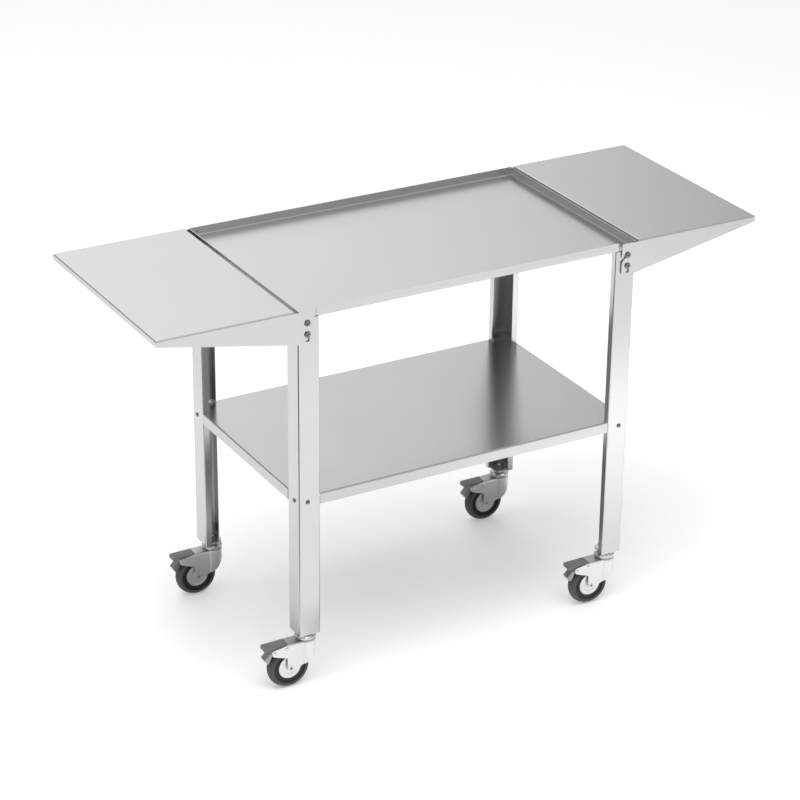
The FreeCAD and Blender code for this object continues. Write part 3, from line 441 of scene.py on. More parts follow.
class NodeTree:
    """Geometry Nodes tree with named inputs for a piece's sizes."""

    def __init__(self, name: str, sizes: Iterable[str]) -> None:
        """Start a tree.

        Args:
            name: the tree's name.
            sizes: names of its number inputs.
        """
        self.tree = bpy.data.node_groups.new(name, "GeometryNodeTree")
        face = self.tree.interface
        face.new_socket("Geometry", in_out="INPUT", socket_type="NodeSocketGeometry")
        for label in sizes:
            face.new_socket(label, in_out="INPUT", socket_type="NodeSocketFloat")
        face.new_socket("Finish", in_out="INPUT", socket_type="NodeSocketMaterial")
        face.new_socket("Geometry", in_out="OUTPUT", socket_type="NodeSocketGeometry")
        self.entry = self.tree.nodes.new("NodeGroupInput")
        self.exit = self.tree.nodes.new("NodeGroupOutput")

    def size(self, label: str) -> bpy.types.NodeSocket:
        """The socket of a named input."""
        return self.entry.outputs[label]

    def add(self, kind: str, inputs: dict[str | int, Any] | None = None,
            **settings: Any) -> bpy.types.NodeSocket:
        """Add a node and return its first output.

        Args:
            kind: Blender's name for the node type.
            inputs: values, sockets or lists of sockets for its input sockets.
            **settings: the node's own properties.

        Returns:
            The node's first output socket.
        """
        node = self.tree.nodes.new(kind)
        for key, value in settings.items():
            setattr(node, key, value)
        for key, value in (inputs or {}).items():
            for item in value if isinstance(value, list) else [value]:
                if isinstance(item, bpy.types.NodeSocket):
                    self.tree.links.new(item, node.inputs[key])
                else:
                    node.inputs[key].default_value = item
        return node.outputs[0]

    def math(self, operation: str, first: Any, second: Any = 0.0) -> bpy.types.NodeSocket:
        """Combine two numbers."""
        return self.add("ShaderNodeMath", {0: first, 1: second}, operation=operation)

    def vector(self, x: Any = 0.0, y: Any = 0.0, z: Any = 0.0) -> bpy.types.NodeSocket:
        """Vector of three numbers."""
        return self.add("ShaderNodeCombineXYZ", {"X": x, "Y": y, "Z": z})

    def moved(self, shape: bpy.types.NodeSocket, shift: Any = (0.0, 0.0, 0.0),
              scale: Any = (1.0, 1.0, 1.0)) -> bpy.types.NodeSocket:
        """Shape moved and scaled."""
        return self.add("GeometryNodeTransform", {"Geometry": shape, "Translation": shift, "Scale": scale})

    def post(self, sides: int, radius: Any, bottom: Any, top: Any) -> bpy.types.NodeSocket:
        """Upright prism or cylinder between two heights."""
        tall = self.math("SUBTRACT", top, bottom)
        middle = self.math("MULTIPLY", self.math("ADD", top, bottom), 0.5)
        body = self.add("GeometryNodeMeshCylinder", {"Vertices": sides, "Radius": radius, "Depth": tall})
        return self.moved(body, self.vector(z=middle))

    def ball(self, across: Any, tall: Any, middle: Any = 0.0) -> bpy.types.NodeSocket:
        """Flattened ball of a given half width and half height."""
        body = self.add("GeometryNodeMeshUVSphere", {"Segments": 32, "Rings": 24, "Radius": 1.0})
        return self.moved(body, self.vector(z=middle), self.vector(across, across, tall))

    def cut(self, shape: bpy.types.NodeSocket, *tools: bpy.types.NodeSocket) -> bpy.types.NodeSocket:
        """Shape with tools taken away."""
        return self.add("GeometryNodeMeshBoolean", {0: shape, 1: list(tools)}, operation="DIFFERENCE")

    def shared(self, *shapes: bpy.types.NodeSocket) -> bpy.types.NodeSocket:
        """What the shapes have in common."""
        return self.add("GeometryNodeMeshBoolean", {1: list(shapes)}, operation="INTERSECT")

    def together(self, *shapes: bpy.types.NodeSocket) -> bpy.types.NodeSocket:
        """Shapes side by side in one mesh."""
        return self.add("GeometryNodeJoinGeometry", {0: list(shapes)})

    def finish_at_points(self, piece: bpy.types.NodeSocket) -> bpy.types.GeometryNodeTree:
        """End the tree: a copy of the piece at every point, turned to the point's facing, as real mesh.

        Args:
            piece: the piece, standing up from its seat at the origin.

        Returns:
            The tree.
        """
        facing = self.add("GeometryNodeInputNamedAttribute", {"Name": "facing"}, data_type="FLOAT_VECTOR")
        turn = self.add("FunctionNodeAlignRotationToVector", {"Vector": facing}, axis="Z")
        spread = self.add("GeometryNodeInstanceOnPoints",
                          {"Points": self.entry.outputs["Geometry"], "Instance": piece, "Rotation": turn})
        return self.finish(spread)

    def finish(self, spread: bpy.types.NodeSocket) -> bpy.types.GeometryNodeTree:
        """End the tree: real mesh with creased edges and the finish."""
        real = self.add("GeometryNodeRealizeInstances", {"Geometry": spread})
        bend = self.add("GeometryNodeInputMeshEdgeAngle")
        sharp = self.add("FunctionNodeCompare", {0: bend, 1: math.radians(32)}, operation="GREATER_THAN")
        smooth = self.add("GeometryNodeSetShadeSmooth",
                          {"Geometry": real, "Shade Smooth": True}, domain="FACE")
        creased = self.add("GeometryNodeSetShadeSmooth",
                           {"Geometry": smooth, "Selection": sharp, "Shade Smooth": False}, domain="EDGE")
        dressed = self.add("GeometryNodeSetMaterial", {"Geometry": creased, "Material": self.size("Finish")})
        self.tree.links.new(dressed, self.exit.inputs[0])
        return self.tree


def grown(name: str, seats: Sequence[Seat], tree: bpy.types.GeometryNodeTree,
          sizes: dict[str, Any]) -> bpy.types.Object:
    """Run a tree on seat points and keep its result as a plain mesh.

    Args:
        name: the new object's name.
        seats: place and facing of each copy.
        tree: the Geometry Nodes tree.
        sizes: values for the tree's named inputs.

    Returns:
        The object, with no modifier left on it.
    """
    points = bpy.data.meshes.new(name + "_points")
    points.from_pydata([place for place, _ in seats], [], [])
    attribute = points.attributes.new("facing", "FLOAT_VECTOR", "POINT")
    for index, (_, facing) in enumerate(seats):
        attribute.data[index].vector = facing
    made = new_object(name, points)
    modifier = made.modifiers.new("grow", "NODES")
    modifier.node_group = tree
    sockets = {item.name: item.identifier for item in tree.interface.items_tree if item.in_out == "INPUT"}
    for label, value in sizes.items():
        modifier[sockets[label]] = value
    graph = bpy.context.evaluated_depsgraph_get()
    mesh = bpy.data.meshes.new_from_object(made.evaluated_get(graph), depsgraph=graph)
    made.modifiers.clear()
    made.data = mesh
    mesh.name = name
    bpy.data.meshes.remove(points)
    return made


class Cart:
    """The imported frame, with the calls that put a piece on it."""

    def __init__(self, frame: dict[str, Any], finishes: Finishes) -> None:
        """Keep the frame and the finishes.

        Args:
            finishes: the cart's materials.
        """
        self.nodes: dict[str, bpy.types.Object] = frame["nodes"]
        self.finishes = finishes

    def dress(self, node: str, material: bpy.types.Material) -> None:
        """Give a CAD node its finish."""
        mesh = self.nodes[node].data
        mesh.materials.clear()
        mesh.materials.append(material)
        LOG.info("dressed %s with %s", node, material.name)

    def fit(self, piece: bpy.types.Object, body: str, slot: str, *replaced: str) -> bpy.types.Object:
        """Ride a piece on a body in place of CAD nodes.

        Args:
            piece: the finished piece, at the origin.
            body: the body that it moves with.
            slot: the record's material slot; not used.
            *replaced: the CAD nodes that it stands for.

        Returns:
            The piece.
        """
        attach(piece, body)
        if replaced:
            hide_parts(*replaced)
        LOG.info("fitted %s on %s", piece.name, body)
        return piece

    def solids(self, node: str) -> list[tuple[Vector, Vector]]:
        """Lowest and highest corners of each separate solid in a node, in a steady order."""
        shape = bmesh.new()
        shape.from_mesh(self.nodes[node].data)
        bmesh.ops.remove_doubles(shape, verts=shape.verts, dist=0.001 * MM)
        left = set(shape.verts)
        boxes = []
        while left:
            group = [left.pop()]
            for vertex in group:
                for edge in vertex.link_edges:
                    other = edge.other_vert(vertex)
                    if other in left:
                        left.discard(other)
                        group.append(other)
            places = [vertex.co for vertex in group]
            low = Vector(min(p[i] for p in places) for i in range(3))
            high = Vector(max(p[i] for p in places) for i in range(3))
            boxes.append((low, high))
        shape.free()
        return sorted(boxes, key=lambda box: tuple(round(v, 5) for v in box[0]))


@dataclass
class SheetWork:
    """The folded sheets: tray, lower shelf, legs, brackets and side shelves."""

    cart: Cart

    def dress(self) -> None:
        """Give each sheet its brushed finish, along the length when level and upright on the legs."""
        finishes = self.cart.finishes
        for node in ("tray", "left_side_shelf", "right_side_shelf"):
            self.cart.dress(node, finishes.level_sheet)
        # The lower shelf's darker colour is painted shade.
        self.cart.dress("lower_shelf", finishes.shaded_lower_sheet)
        for corner in Corner:
            for piece in ("leg", "shelf_bracket"):
                self.cart.dress(corner.named(piece), finishes.upright_sheet)


@dataclass
class Fasteners:
    """Screws, nuts and studs, with socketed heads and chamfered nuts. Sizes in metres."""

    cart: Cart
    head_radius: float = 4.75 * MM
    head_height: float = 2.6 * MM
    socket_width: float = 3.0 * MM
    socket_depth: float = 1.5 * MM
    shank_radius: float = 2.5 * MM
    cap_radius: float = 6.5 * MM
    cap_flange: float = 1.2 * MM
    cap_flats: float = 10.0 * MM
    cap_flats_height: float = 1.6 * MM
    hinge_bore: float = 3.0 * MM
    stem_bore: float = 6.0 * MM

    def screw_tree(self) -> bpy.types.GeometryNodeTree:
        """Button head with a hexagon socket, on a plain shank below its seat."""
        tree = NodeTree("dome_screw", ("Head radius", "Head height", "Socket width", "Socket depth",
                                       "Shank radius", "Shank length"))
        radius, height = tree.size("Head radius"), tree.size("Head height")
        dome = tree.ball(radius, height)
        under = tree.post(32, tree.math("MULTIPLY", radius, 1.5), tree.math("MULTIPLY", height, -2.0), 0.0)
        corner = tree.math("MULTIPLY", tree.size("Socket width"), 1 / math.sqrt(3))
        floor = tree.math("SUBTRACT", height, tree.size("Socket depth"))
        socket = tree.post(6, corner, floor, tree.math("MULTIPLY", height, 2.0))
        head = tree.cut(dome, under, socket)
        low = tree.math("MULTIPLY", tree.size("Shank length"), -1.0)
        shank = tree.post(20, tree.size("Shank radius"), low, 0.0)
        return tree.finish_at_points(tree.together(head, shank))

    def nut_tree(self) -> bpy.types.GeometryNodeTree:
        """Hexagon nut with chamfered corners and a bore."""
        tree = NodeTree("hexagon_nut", ("Flats", "Height", "Bore radius"))
        height = tree.size("Height")
        corner = tree.math("MULTIPLY", tree.size("Flats"), 1 / math.sqrt(3))
        prism = tree.post(6, corner, 0.0, height)
        half = tree.math("MULTIPLY", height, 0.5)
        ball = tree.ball(tree.math("MULTIPLY", corner, 1.08), tree.math("MULTIPLY", height, 1.05), half)
        bore = tree.post(24, tree.size("Bore radius"), tree.math("MULTIPLY", height, -1.0),
                         tree.math("MULTIPLY", height, 2.0))
        return tree.finish_at_points(tree.cut(tree.shared(prism, ball), bore))

    def cap_tree(self) -> bpy.types.GeometryNodeTree:
        """Domed cap nut: flange, hexagon and crown."""
        tree = NodeTree("cap_nut", ("Flange radius", "Flange height", "Flats", "Flats height", "Height"))
        radius, rim = tree.size("Flange radius"), tree.size("Flange height")
        flats, height = tree.size("Flats"), tree.size("Height")
        corner = tree.math("MULTIPLY", flats, 1 / math.sqrt(3))
        flange = tree.shared(tree.post(40, radius, 0.0, rim),
                             tree.ball(tree.math("MULTIPLY", radius, 1.02), tree.math("MULTIPLY", rim, 1.3)))
        shoulder = tree.math("ADD", rim, tree.size("Flats height"))
        rounding = tree.ball(tree.math("MULTIPLY", corner, 1.04), tree.math("MULTIPLY", shoulder, 2.2))
        hexagon = tree.shared(tree.post(6, corner, 0.0, shoulder), rounding)
        crown = tree.cut(tree.ball(tree.math("MULTIPLY", flats, 0.46), height),
                         tree.post(24, flats, tree.math("MULTIPLY", height, -2.0), 0.0))
        return tree.finish_at_points(tree.together(flange, hexagon, crown))

    @staticmethod
    def seat(low: Vector, high: Vector, axis: int, outward: bool = True) -> Seat:
        """Place and facing of a solid whose axis lies along X, Y or Z.

        Args:
            low: the solid's lowest corner.
            high: its highest corner.
            axis: 0, 1 or 2 for X, Y or Z.
            outward: whether it faces away from the cart's middle, or else up its axis.

        Returns:
            The middle of the solid's inner end, and the facing.
        """
        place = (low + high) / 2
        facing = Vector((0.0, 0.0, 0.0))
        facing[axis] = math.copysign(1.0, place[axis]) if outward else 1.0
        place[axis] = low[axis] if facing[axis] > 0 else high[axis]
        return place, facing

    def build(self) -> None:
        """Fit every fastener on the frame."""
        self.build_bracket_screws(self.screw_tree())
        self.build_nuts(self.nut_tree())
        self.build_caps(self.cap_tree())
        for node in ("lock_studs", "pivot_studs", "tray_studs", "lower_shelf_studs"):
            self.cart.dress(node, self.cart.finishes.fastener)

    def build_caps(self, tree: bpy.types.GeometryNodeTree) -> None:
        """Fit the cap nuts of the hinge studs."""
        node = "stud_cap_nuts"
        boxes = self.cart.solids(node)
        low, high = boxes[0]
        # The cap nuts' dark chrome colour is painted shade.
        piece = grown(node + "_domed", [self.seat(*box, axis=1) for box in boxes], tree,
                      {"Flange radius": self.cap_radius, "Flange height": self.cap_flange,
                       "Flats": self.cap_flats, "Flats height": self.cap_flats_height,
                       "Height": high.y - low.y, "Finish": self.cart.finishes.cap})
        self.cart.fit(piece, FRAME_BODY, "chrome", node)

    def build_bracket_screws(self, tree: bpy.types.GeometryNodeTree) -> None:
        """Fit the eight leg screws, four along X and four along Y, seated where their heads begin."""
        node = "bracket_screws"
        seats, length = [], 0.0
        for low, high in self.cart.solids(node):
            axis = 0 if high.x - low.x > high.y - low.y else 1
            length = high[axis] - low[axis] - self.head_height
            place, facing = self.seat(low, high, axis)
            seats.append((place + facing * length, facing))
        piece = grown(node + "_dome", seats, tree,
                      {"Head radius": self.head_radius, "Head height": self.head_height,
                       "Socket width": self.socket_width, "Socket depth": self.socket_depth,
                       "Shank radius": self.shank_radius, "Shank length": length,
                       "Finish": self.cart.finishes.fastener})
        self.cart.fit(piece, FRAME_BODY, "fastener", node)

    def build_nuts(self, tree: bpy.types.GeometryNodeTree) -> None:
        """Fit every hexagon nut on the frame."""
        bores = {"tray_stud_nuts": self.shank_radius, "lower_shelf_stud_nuts": self.shank_radius,
                 "bracket_screw_nuts": self.shank_radius, "stud_nuts": self.hinge_bore,
                 "castor_stem_nuts": self.stem_bore}
        for node, bore in bores.items():
            seats, height, flats = [], 0.0, 0.0
            for low, high in self.cart.solids(node):
                spans = high - low
                axis = min(range(3), key=lambda i: spans[i])
                height = spans[axis]
                flats = min(spans[i] for i in range(3) if i != axis)
                seats.append(self.seat(low, high, axis, outward=False))
            piece = grown(node + "_hexagon", seats, tree,
                          {"Flats": flats, "Height": height, "Bore radius": bore,
                           "Finish": self.cart.finishes.fastener})
            self.cart.fit(piece, FRAME_BODY, "fastener", node)


@dataclass
class Castor:
    """One braked swivel castor. Sizes in metres."""

    cart: Cart
    corner: Corner
    core_radius: float = 34.2 * MM
    tread_drop: float = 5.0 * MM
    tread_steps: int = 16
    tread_share: float = 0.985
    core_inset: float = 1.3 * MM
    hub_bore: float = 4.1 * MM
    boss_radius: float = 8.5 * MM
    dish_radius: float = 14.6 * MM
    groove_depth: float = 1.1 * MM
    neck_radius: float = 12.0 * MM
    stem_radius: float = 6.0 * MM
    rivet_radius: float = 10.0 * MM
    lower_race: float = 3.4 * MM
    race_height: float = 10.4 * MM
    pad_wall: float = 1.4 * MM
    pad_top_wall: float = 4.0 * MM
    pad_toe: float = 6.0 * MM
    pad_heel: float = 1.2 * MM
    pad_ease: float = 1.1 * MM
    rib_count: int = 4
    rib_start: float = 8.0 * MM
    rib_pitch: float = 3.2 * MM
    rib_size: Point3 = (1.3 * MM, 17.0 * MM, 0.45 * MM)

    def box(self, piece: str) -> tuple[Vector, Vector]:
        """Lowest and highest corners of one of this castor's nodes."""
        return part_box(self.corner.named(piece))

    def build(self) -> None:
        """Make the detailed pieces and dress the rest."""
        self.build_wheel()
        self.build_head()
        self.build_pad()
        finishes = self.cart.finishes
        for piece in ("castor_fork", "castor_axle"):
            self.cart.dress(self.corner.named(piece), finishes.zinc)
        self.cart.dress(self.corner.named("brake_pins"), finishes.chrome)
        self.cart.dress(self.corner.named("brake_lever"), finishes.pressing)

    def build_wheel(self) -> None:
        """Crowned rubber tyre, black core ring and dished hub, all turned about the axle."""
        low, high = self.box("castor_tyre")
        axle = (low + high) / 2
        radius, half = (high.z - low.z) / 2, (high.y - low.y) / 2
        body = self.corner.named("wheel")
        finishes = self.cart.finishes
        shoulder = radius - self.tread_drop
        ball = (half ** 2 + self.tread_drop ** 2) / (2 * self.tread_drop)
        tread = []
        for step in range(self.tread_steps + 1):
            across = half * (1 - 2 * step / self.tread_steps) * self.tread_share
            tread.append((radius - ball + math.sqrt(ball ** 2 - across ** 2), across))
        lip = self.core_radius + 1.2 * MM
        side = [(self.core_radius, half - self.core_inset), (lip, half - 0.5 * MM),
                (shoulder - 1.6 * MM, half - 0.1 * MM), (shoulder - 0.3 * MM, half - 0.1 * MM)]
        outline = side + tread + [(r, -y) for r, y in reversed(side)]
        tyre = new_object(self.corner.named("tyre_rubber"),
                          turned("tyre", outline, axle, Turning.CROSSWISE, 96))
        tyre.data.materials.append(finishes.rubber)
        self.cart.fit(tyre, body, "tyre", self.corner.named("castor_tyre"))
        hub_low, hub_high = self.box("castor_hub")
        hub_radius, boss = (hub_high.z - hub_low.z) / 2, (hub_high.y - hub_low.y) / 2
        face = half - self.core_inset
        ring = both_sides([(hub_radius, face - 1.0 * MM, 0.4 * MM),
                           (hub_radius + 1.6 * MM, face - 1.0 * MM, 0.3 * MM),
                           (hub_radius + 2.6 * MM, face - 2.0 * MM, 0.3 * MM),
                           (self.core_radius - 1.6 * MM, face - 2.0 * MM, 0.3 * MM),
                           (self.core_radius - 0.8 * MM, face, 0.3 * MM), (self.core_radius, face, 0.0)])
        core = new_object(self.corner.named("wheel_core"),
                          turned("core", eased(ring, 3), axle, Turning.CROSSWISE, 72))
        core.data.materials.append(finishes.core)
        self.cart.fit(core, body, "tyre", self.corner.named("castor_tyre"))
        self.build_hub(axle, hub_radius, boss, face)

    def build_hub(self, axle: Vector, radius: float, boss: float, face: float) -> None:
        """Dished hub with a rolled rim, a pressed ring and a boss on the axle.

        Args:
            axle: the wheel's middle.
            radius: the hub's outer radius.
            boss: half the boss's length.
            face: the tyre core's face, from the wheel's middle.
        """
        flush = face - 0.3 * MM
        dish = face - 0.9 * MM
        profile = both_sides([(self.hub_bore, boss, 0.3 * MM), (self.boss_radius, boss, 0.6 * MM),
                              (self.boss_radius, dish, 0.5 * MM), (self.dish_radius, dish, 0.3 * MM),
                              (self.dish_radius + 0.8 * MM, flush, 0.3 * MM),
                              (radius - 0.1 * MM, flush, 0.8 * MM)])
        hub = new_object(self.corner.named("hub_disc"),
                         turned("hub", eased(profile, 4), axle, Turning.CROSSWISE, 72))
        hub.data.materials.append(self.cart.finishes.zinc)
        self.cart.fit(hub, self.corner.named("wheel"), "zinc", self.corner.named("castor_hub"))

    def build_head(self) -> None:
        """Chromed swivel head: two rolled ball-race rings with a groove between, neck, stem and kingpin."""
        low, high = self.box("castor_head")
        fork_top = self.box("castor_fork")[1].z
        leg_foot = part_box(self.corner.named("leg"))[0].z
        axis = Vector(((low.x + high.x) / 2, (low.y + high.y) / 2, 0.0))
        radius = (high.x - low.x) / 2
        bottom = fork_top + 0.2 * MM
        waist = bottom + self.lower_race
        top = bottom + self.race_height
        rivet_top = fork_top - 2.7 * MM
        race = radius - 1.0 * MM
        groove = race - self.groove_depth
        outline = eased([(0.0, low.z, 0.0), (self.rivet_radius, low.z, 0.8 * MM),
                         (self.rivet_radius, rivet_top, 0.3 * MM),
                         (self.stem_radius, rivet_top, 0.0), (self.stem_radius, bottom, 0.0),
                         (radius - 2.6 * MM, bottom, 0.8 * MM), (race, waist - 1.6 * MM, 0.8 * MM),
                         (race, waist - 0.4 * MM, 0.5 * MM), (groove, waist - 0.4 * MM, 0.1 * MM),
                         (groove, waist + 0.4 * MM, 0.1 * MM),
                         (radius, waist + 0.4 * MM, 0.7 * MM), (radius, waist + 3.4 * MM, 1.8 * MM),
                         (radius - 3.2 * MM, top - 0.4 * MM, 2.0 * MM), (radius - 7.0 * MM, top, 1.0 * MM),
                         (self.neck_radius, top, 0.5 * MM), (self.neck_radius, leg_foot, 0.2 * MM),
                         (self.stem_radius, leg_foot, 0.0), (self.stem_radius, high.z, 0.5 * MM),
                         (0.0, high.z, 0.0)], 4)
        head = new_object(self.corner.named("swivel_head"),
                          turned("head", outline, axis, Turning.UPRIGHT, 72))
        head.data.materials.append(self.cart.finishes.chrome)
        self.cart.fit(head, FRAME_BODY, "chrome", self.corner.named("castor_head"))

    def build_pad(self) -> None:
        """Hollow plastic pedal cap with eased edges, and grip ribs near its toe."""
        low, high = self.box("pedal_pad")

        def loop(inset: float, height: float) -> list[Vector]:
            """Rounded plan of the pad, drawn in by an inset."""
            toe, heel = max(self.pad_toe - inset, 0.5 * MM), max(self.pad_heel - inset, 0.4 * MM)
            left, right = low.x + inset, high.x - inset
            near, far = low.y + inset, high.y - inset
            plan = eased([(left, near, toe), (right, near, heel), (right, far, heel), (left, far, toe)], 6)
            return [Vector((x, y, height)) for x, y in plan]

        ease = self.pad_ease
        pocket = high.z - self.pad_top_wall
        rim = [loop(ease * (1 - math.cos(math.radians(a))), high.z - ease * (1 - math.sin(math.radians(a))))
               for a in (0, 22.5, 45, 67.5, 90)]
        loops = [loop(self.pad_wall, pocket), loop(self.pad_wall, low.z),
                 loop(0.3 * MM, low.z), loop(0.0, low.z + 0.3 * MM)]
        pad = new_object(self.corner.named("pedal_cap"), lofted("pad", loops + rim))
        pad.data.materials.append(self.cart.finishes.pedal)
        body = self.corner.named("pedal")
        self.cart.fit(pad, body, "pedal_plastic", self.corner.named("pedal_pad"))
        start = Vector((low.x + self.rib_start, (low.y + high.y) / 2, high.z))
        seats = [(start + Vector((self.rib_pitch * index, 0.0, 0.0)), Vector((0.0, 0.0, 1.0)))
                 for index in range(self.rib_count)]
        tree = bpy.data.node_groups.get("grip_rib") or self.rib_tree()
        width, length, height = self.rib_size
        ribs = grown(self.corner.named("pedal_ribs"), seats, tree,
                     {"Width": width, "Length": length, "Height": height,
                      "Finish": self.cart.finishes.pedal})
        self.cart.fit(ribs, body, "pedal_plastic")

    @staticmethod
    def rib_tree() -> bpy.types.GeometryNodeTree:
        """Low rounded rib across the pedal."""
        tree = NodeTree("grip_rib", ("Width", "Length", "Height"))
        half_width = tree.math("MULTIPLY", tree.size("Width"), 0.5)
        half_length = tree.math("MULTIPLY", tree.size("Length"), 0.5)
        body = tree.add("GeometryNodeMeshUVSphere", {"Segments": 24, "Rings": 12, "Radius": 1.0})
        shaped = tree.moved(body, scale=tree.vector(half_width, half_length, tree.size("Height")))
        return tree.finish_at_points(shaped)


@dataclass
class Hinges:
    """The bushes that the side shelves turn and slide on."""

    cart: Cart

    def dress(self) -> None:
        """Give both pairs of bushes their plastic."""
        for side in ("left", "right"):
            self.cart.dress(f"{side}_pivot_bushes", self.cart.finishes.bush)


@dataclass
class Studio:
    """Pale floor, soft lights and the camera. Lengths in metres, angles in degrees."""

    azimuth: float = -29.602
    elevation: float = 25.265
    roll: float = 0.590
    distance: float = 5.3558
    focal_pixels: float = 2663.5
    aim: Point3 = (0.0, 0.0, 0.420)
    aim_right: float = -0.0186
    aim_up: float = 0.0184
    floor_half: float = 60.0
    glows: tuple[tuple[Point3, Point2, Point2], ...] = (
        ((0.22, 0.90, 0.42), (0.83, 1.0), (0.06, 1.50)),
        ((0.45, -0.785, 0.45), (0.80, 0.98), (0.0, 0.60)),
        ((0.0, 0.0, 1.0), (0.45, 0.95), (0.0, 1.15)))
    # The dark flags are painted shade that only reflections show: darker floor under the cart and beside it
    # on the front left. The cards give light that only reflections show.
    flags: tuple[tuple[str, Point3, Point2, float, float], ...] = (
        ("flag_under", (-0.045, -0.02, 0.1), (0.315, 0.33), 0.12, 0.12),
        ("flag_beside", (-2.75, -1.8, 0.001), (2.3, 1.75), 0.35, 0.06),
        ("flag_behind", (0.02, 0.06, 0.002), (0.52, 0.17), 0.08, 0.21),
        ("card_in_front", (0.85, -0.95, 0.001), (0.65, 0.5), 0.45, 1.7),
        ("card_overhead", (0.0, 0.0, 2.5), (1.9, 1.9), 0.8, 0.75),
        ("strip_overhead", (-0.45, -0.2, 2.45), (0.3, 1.5), 0.25, 1.7))
    upright_cards: tuple[tuple[str, float, float], ...] = (
        ("card_right", 0.0, 0.55), ("card_left", 180.0, 0.55),
        ("card_front_left", 225.0, 0.45), ("card_front_right", 315.0, 0.40), ("card_back_left", 130.0, 0.50))
    card_away: float = 9.0
    card_half: Point2 = (3.4, 5.0)
    card_fade: float = 2.2
    key_place: Point3 = (-0.7, -0.7, 3.3)
    key_aim: Point3 = (0.0, 0.0, 0.5)
    key_side: float = 2.8
    key_power: float = 70.0

    def build(self) -> None:
        """Make the floor, the lights, the world and the camera."""
        self.build_floor()
        for name, middle, half, fade, glow in self.flags:
            self.build_flag(name, middle, half, fade, glow)
        for name, heading, glow in self.upright_cards:
            turn = math.radians(heading)
            middle = (self.card_away * math.cos(turn), self.card_away * math.sin(turn), self.card_half[0])
            card = self.build_flag(name, middle, self.card_half, self.card_fade, glow)
            card.rotation_euler = (0.0, math.pi / 2, turn)
        self.build_world()
        self.build_lights()
        self.build_camera()
        bpy.context.scene.view_settings.view_transform = "Standard"

    def build_floor(self) -> None:
        """Pale matt floor."""
        shape = bmesh.new()
        bmesh.ops.create_grid(shape, x_segments=2, y_segments=2, size=self.floor_half)
        mesh = bpy.data.meshes.new("floor")
        shape.to_mesh(mesh)
        shape.free()
        sheet = ShaderSheet("pale_floor")
        cloud = sheet.noise(sheet.place(), 1.5, detail=3.0)
        sheet.set(Base_Color=sheet.tint(cloud, (0.86, 0.86, 0.865), (0.88, 0.88, 0.885)), Roughness=0.6,
                  Emission_Color=(1.0, 1.0, 1.0, 1.0), Emission_Strength=0.33)
        mesh.materials.append(sheet.material)
        new_object("floor", mesh)

    def build_flag(
            self, name: str, middle: Point3, half: Point2, fade: float, glow: float) -> bpy.types.Object:
        """Flag or card that only reflections show, with soft edges, made level.

        Args:
            name: the flag's name.
            middle: its middle.
            half: half its length and depth.
            fade: the width of its soft edge.
            glow: the light that it gives back.

        Returns:
            The flag.
        """
        mesh = bpy.data.meshes.new(name)
        corners = [(-half[0], -half[1]), (half[0], -half[1]), (half[0], half[1]), (-half[0], half[1])]
        mesh.from_pydata([(x, y, 0.0) for x, y in corners], [], [(0, 1, 2, 3)])
        sheet = ShaderSheet(name)
        parts = sheet.add("ShaderNodeSeparateXYZ", {"Vector": sheet.place((1 / half[0], 1 / half[1], 1.0))})
        share = None
        for axis, reach in zip(("X", "Y"), half):
            away = sheet.join("ABSOLUTE", parts.outputs[axis], 0.0)
            edge = sheet.spread(away, 1.0, 0.0, 1.0 - fade / reach, 1.0)
            share = edge if share is None else sheet.join("MULTIPLY", share, edge)
        shade = sheet.add("ShaderNodeEmission", {"Color": (1.0, 1.0, 1.0, 1.0), "Strength": glow})
        clear = sheet.add("ShaderNodeBsdfTransparent")
        mix = sheet.add("ShaderNodeMixShader",
                        {0: share, 1: clear.outputs["BSDF"], 2: shade.outputs["Emission"]})
        output = next(node for node in sheet.tree.nodes if node.type == "OUTPUT_MATERIAL")
        sheet.tree.links.new(mix.outputs["Shader"], output.inputs["Surface"])
        mesh.materials.append(sheet.material)
        flag = new_object(name, mesh)
        flag.location = middle
        for rays in ("camera", "diffuse", "shadow", "transmission", "volume_scatter"):
            setattr(flag, f"visible_{rays}", False)
        return flag

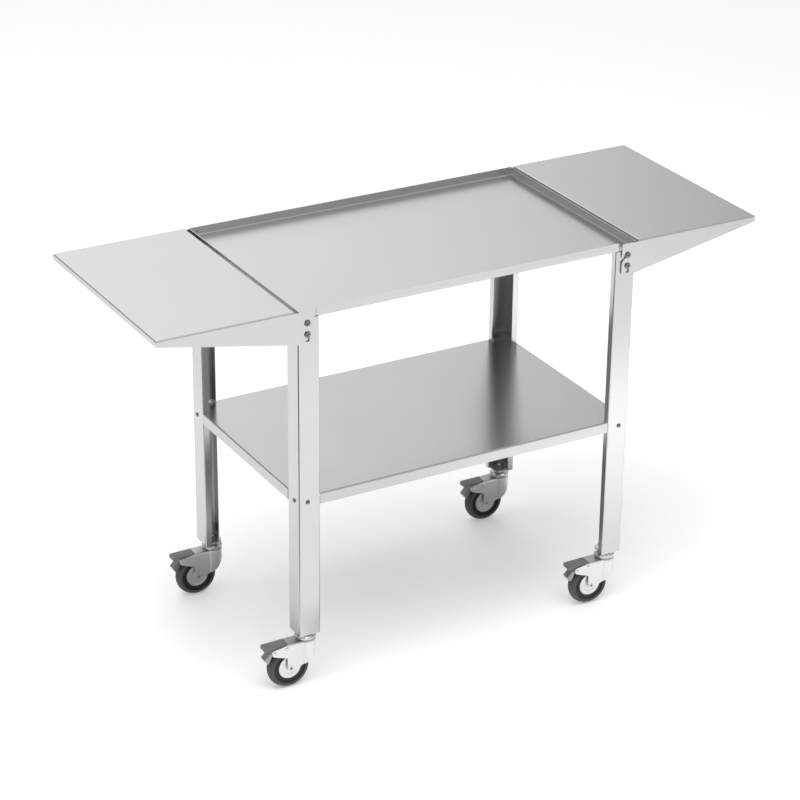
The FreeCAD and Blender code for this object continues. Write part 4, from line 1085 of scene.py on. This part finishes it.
    def build_world(self) -> None:
        """Dark surround with soft glows behind, in front on the right, and overhead."""
        world = bpy.data.worlds.new("studio")
        bpy.context.scene.world = world
        world.use_nodes = True
        tree = world.node_tree
        tree.nodes.clear()
        place = tree.nodes.new("ShaderNodeTexCoord")
        level = None
        for heading, (start, end), (low, high) in self.glows:
            along = tree.nodes.new("ShaderNodeVectorMath")
            along.operation = "DOT_PRODUCT"
            along.inputs[1].default_value = Vector(heading).normalized()
            tree.links.new(place.outputs["Generated"], along.inputs[0])
            spread = tree.nodes.new("ShaderNodeMapRange")
            spread.interpolation_type = "SMOOTHSTEP"
            for label, value in (("From Min", start), ("From Max", end), ("To Min", low), ("To Max", high)):
                spread.inputs[label].default_value = value
            tree.links.new(along.outputs["Value"], spread.inputs["Value"])
            if level is None:
                level = spread.outputs["Result"]
            else:
                total = tree.nodes.new("ShaderNodeMath")
                tree.links.new(level, total.inputs[0])
                tree.links.new(spread.outputs["Result"], total.inputs[1])
                level = total.outputs["Value"]
        background = tree.nodes.new("ShaderNodeBackground")
        output = tree.nodes.new("ShaderNodeOutputWorld")
        tree.links.new(level, background.inputs["Strength"])
        tree.links.new(background.outputs["Background"], output.inputs["Surface"])

    def build_lights(self) -> None:
        """Softbox above the cart, a little to the left and the front."""
        lamp = bpy.data.lights.new("key", "AREA")
        lamp.shape = "SQUARE"
        lamp.size = self.key_side
        lamp.energy = self.key_power
        softbox = bpy.data.objects.new("key", lamp)
        softbox.location = self.key_place
        ahead = Vector(self.key_aim) - softbox.location
        softbox.rotation_euler = ahead.to_track_quat("-Z", "Y").to_euler()
        bpy.context.scene.collection.objects.link(softbox)

    def build_camera(self) -> None:
        """Camera at the photograph's angle, in a square frame."""
        turn, rise, lean = (math.radians(v) for v in (self.azimuth, self.elevation, self.roll))
        back = Vector((math.sin(turn) * math.cos(rise), -math.cos(turn) * math.cos(rise), math.sin(rise)))
        level = Vector((math.cos(turn), math.sin(turn), 0.0))
        above = back.cross(level)
        right = level * math.cos(lean) + above * math.sin(lean)
        up = above * math.cos(lean) - level * math.sin(lean)
        place = Vector(self.aim) + back * self.distance + right * self.aim_right + up * self.aim_up
        lens = bpy.data.cameras.new("camera")
        lens.sensor_width = SENSOR_WIDTH
        lens.lens = SENSOR_WIDTH * self.focal_pixels / IMAGE_SIDE
        lens.clip_end = 100.0
        camera = bpy.data.objects.new("camera", lens)
        camera.matrix_world = Matrix((right, up, back)).transposed().to_4x4()
        camera.location = place
        bpy.context.scene.collection.objects.link(camera)
        bpy.context.scene.camera = camera


def main() -> None:
    """Build the cart's looks in order and report each piece."""
    logging.basicConfig(level=logging.INFO, format="%(name)s: %(message)s")
    for made in list(bpy.data.objects):
        bpy.data.objects.remove(made)
    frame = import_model()
    cart = Cart(frame, Finishes())
    SheetWork(cart).dress()
    Fasteners(cart).build()
    for corner in Corner:
        Castor(cart, corner).build()
    Hinges(cart).dress()
    Studio().build()


if __name__ == "__main__":
    main()
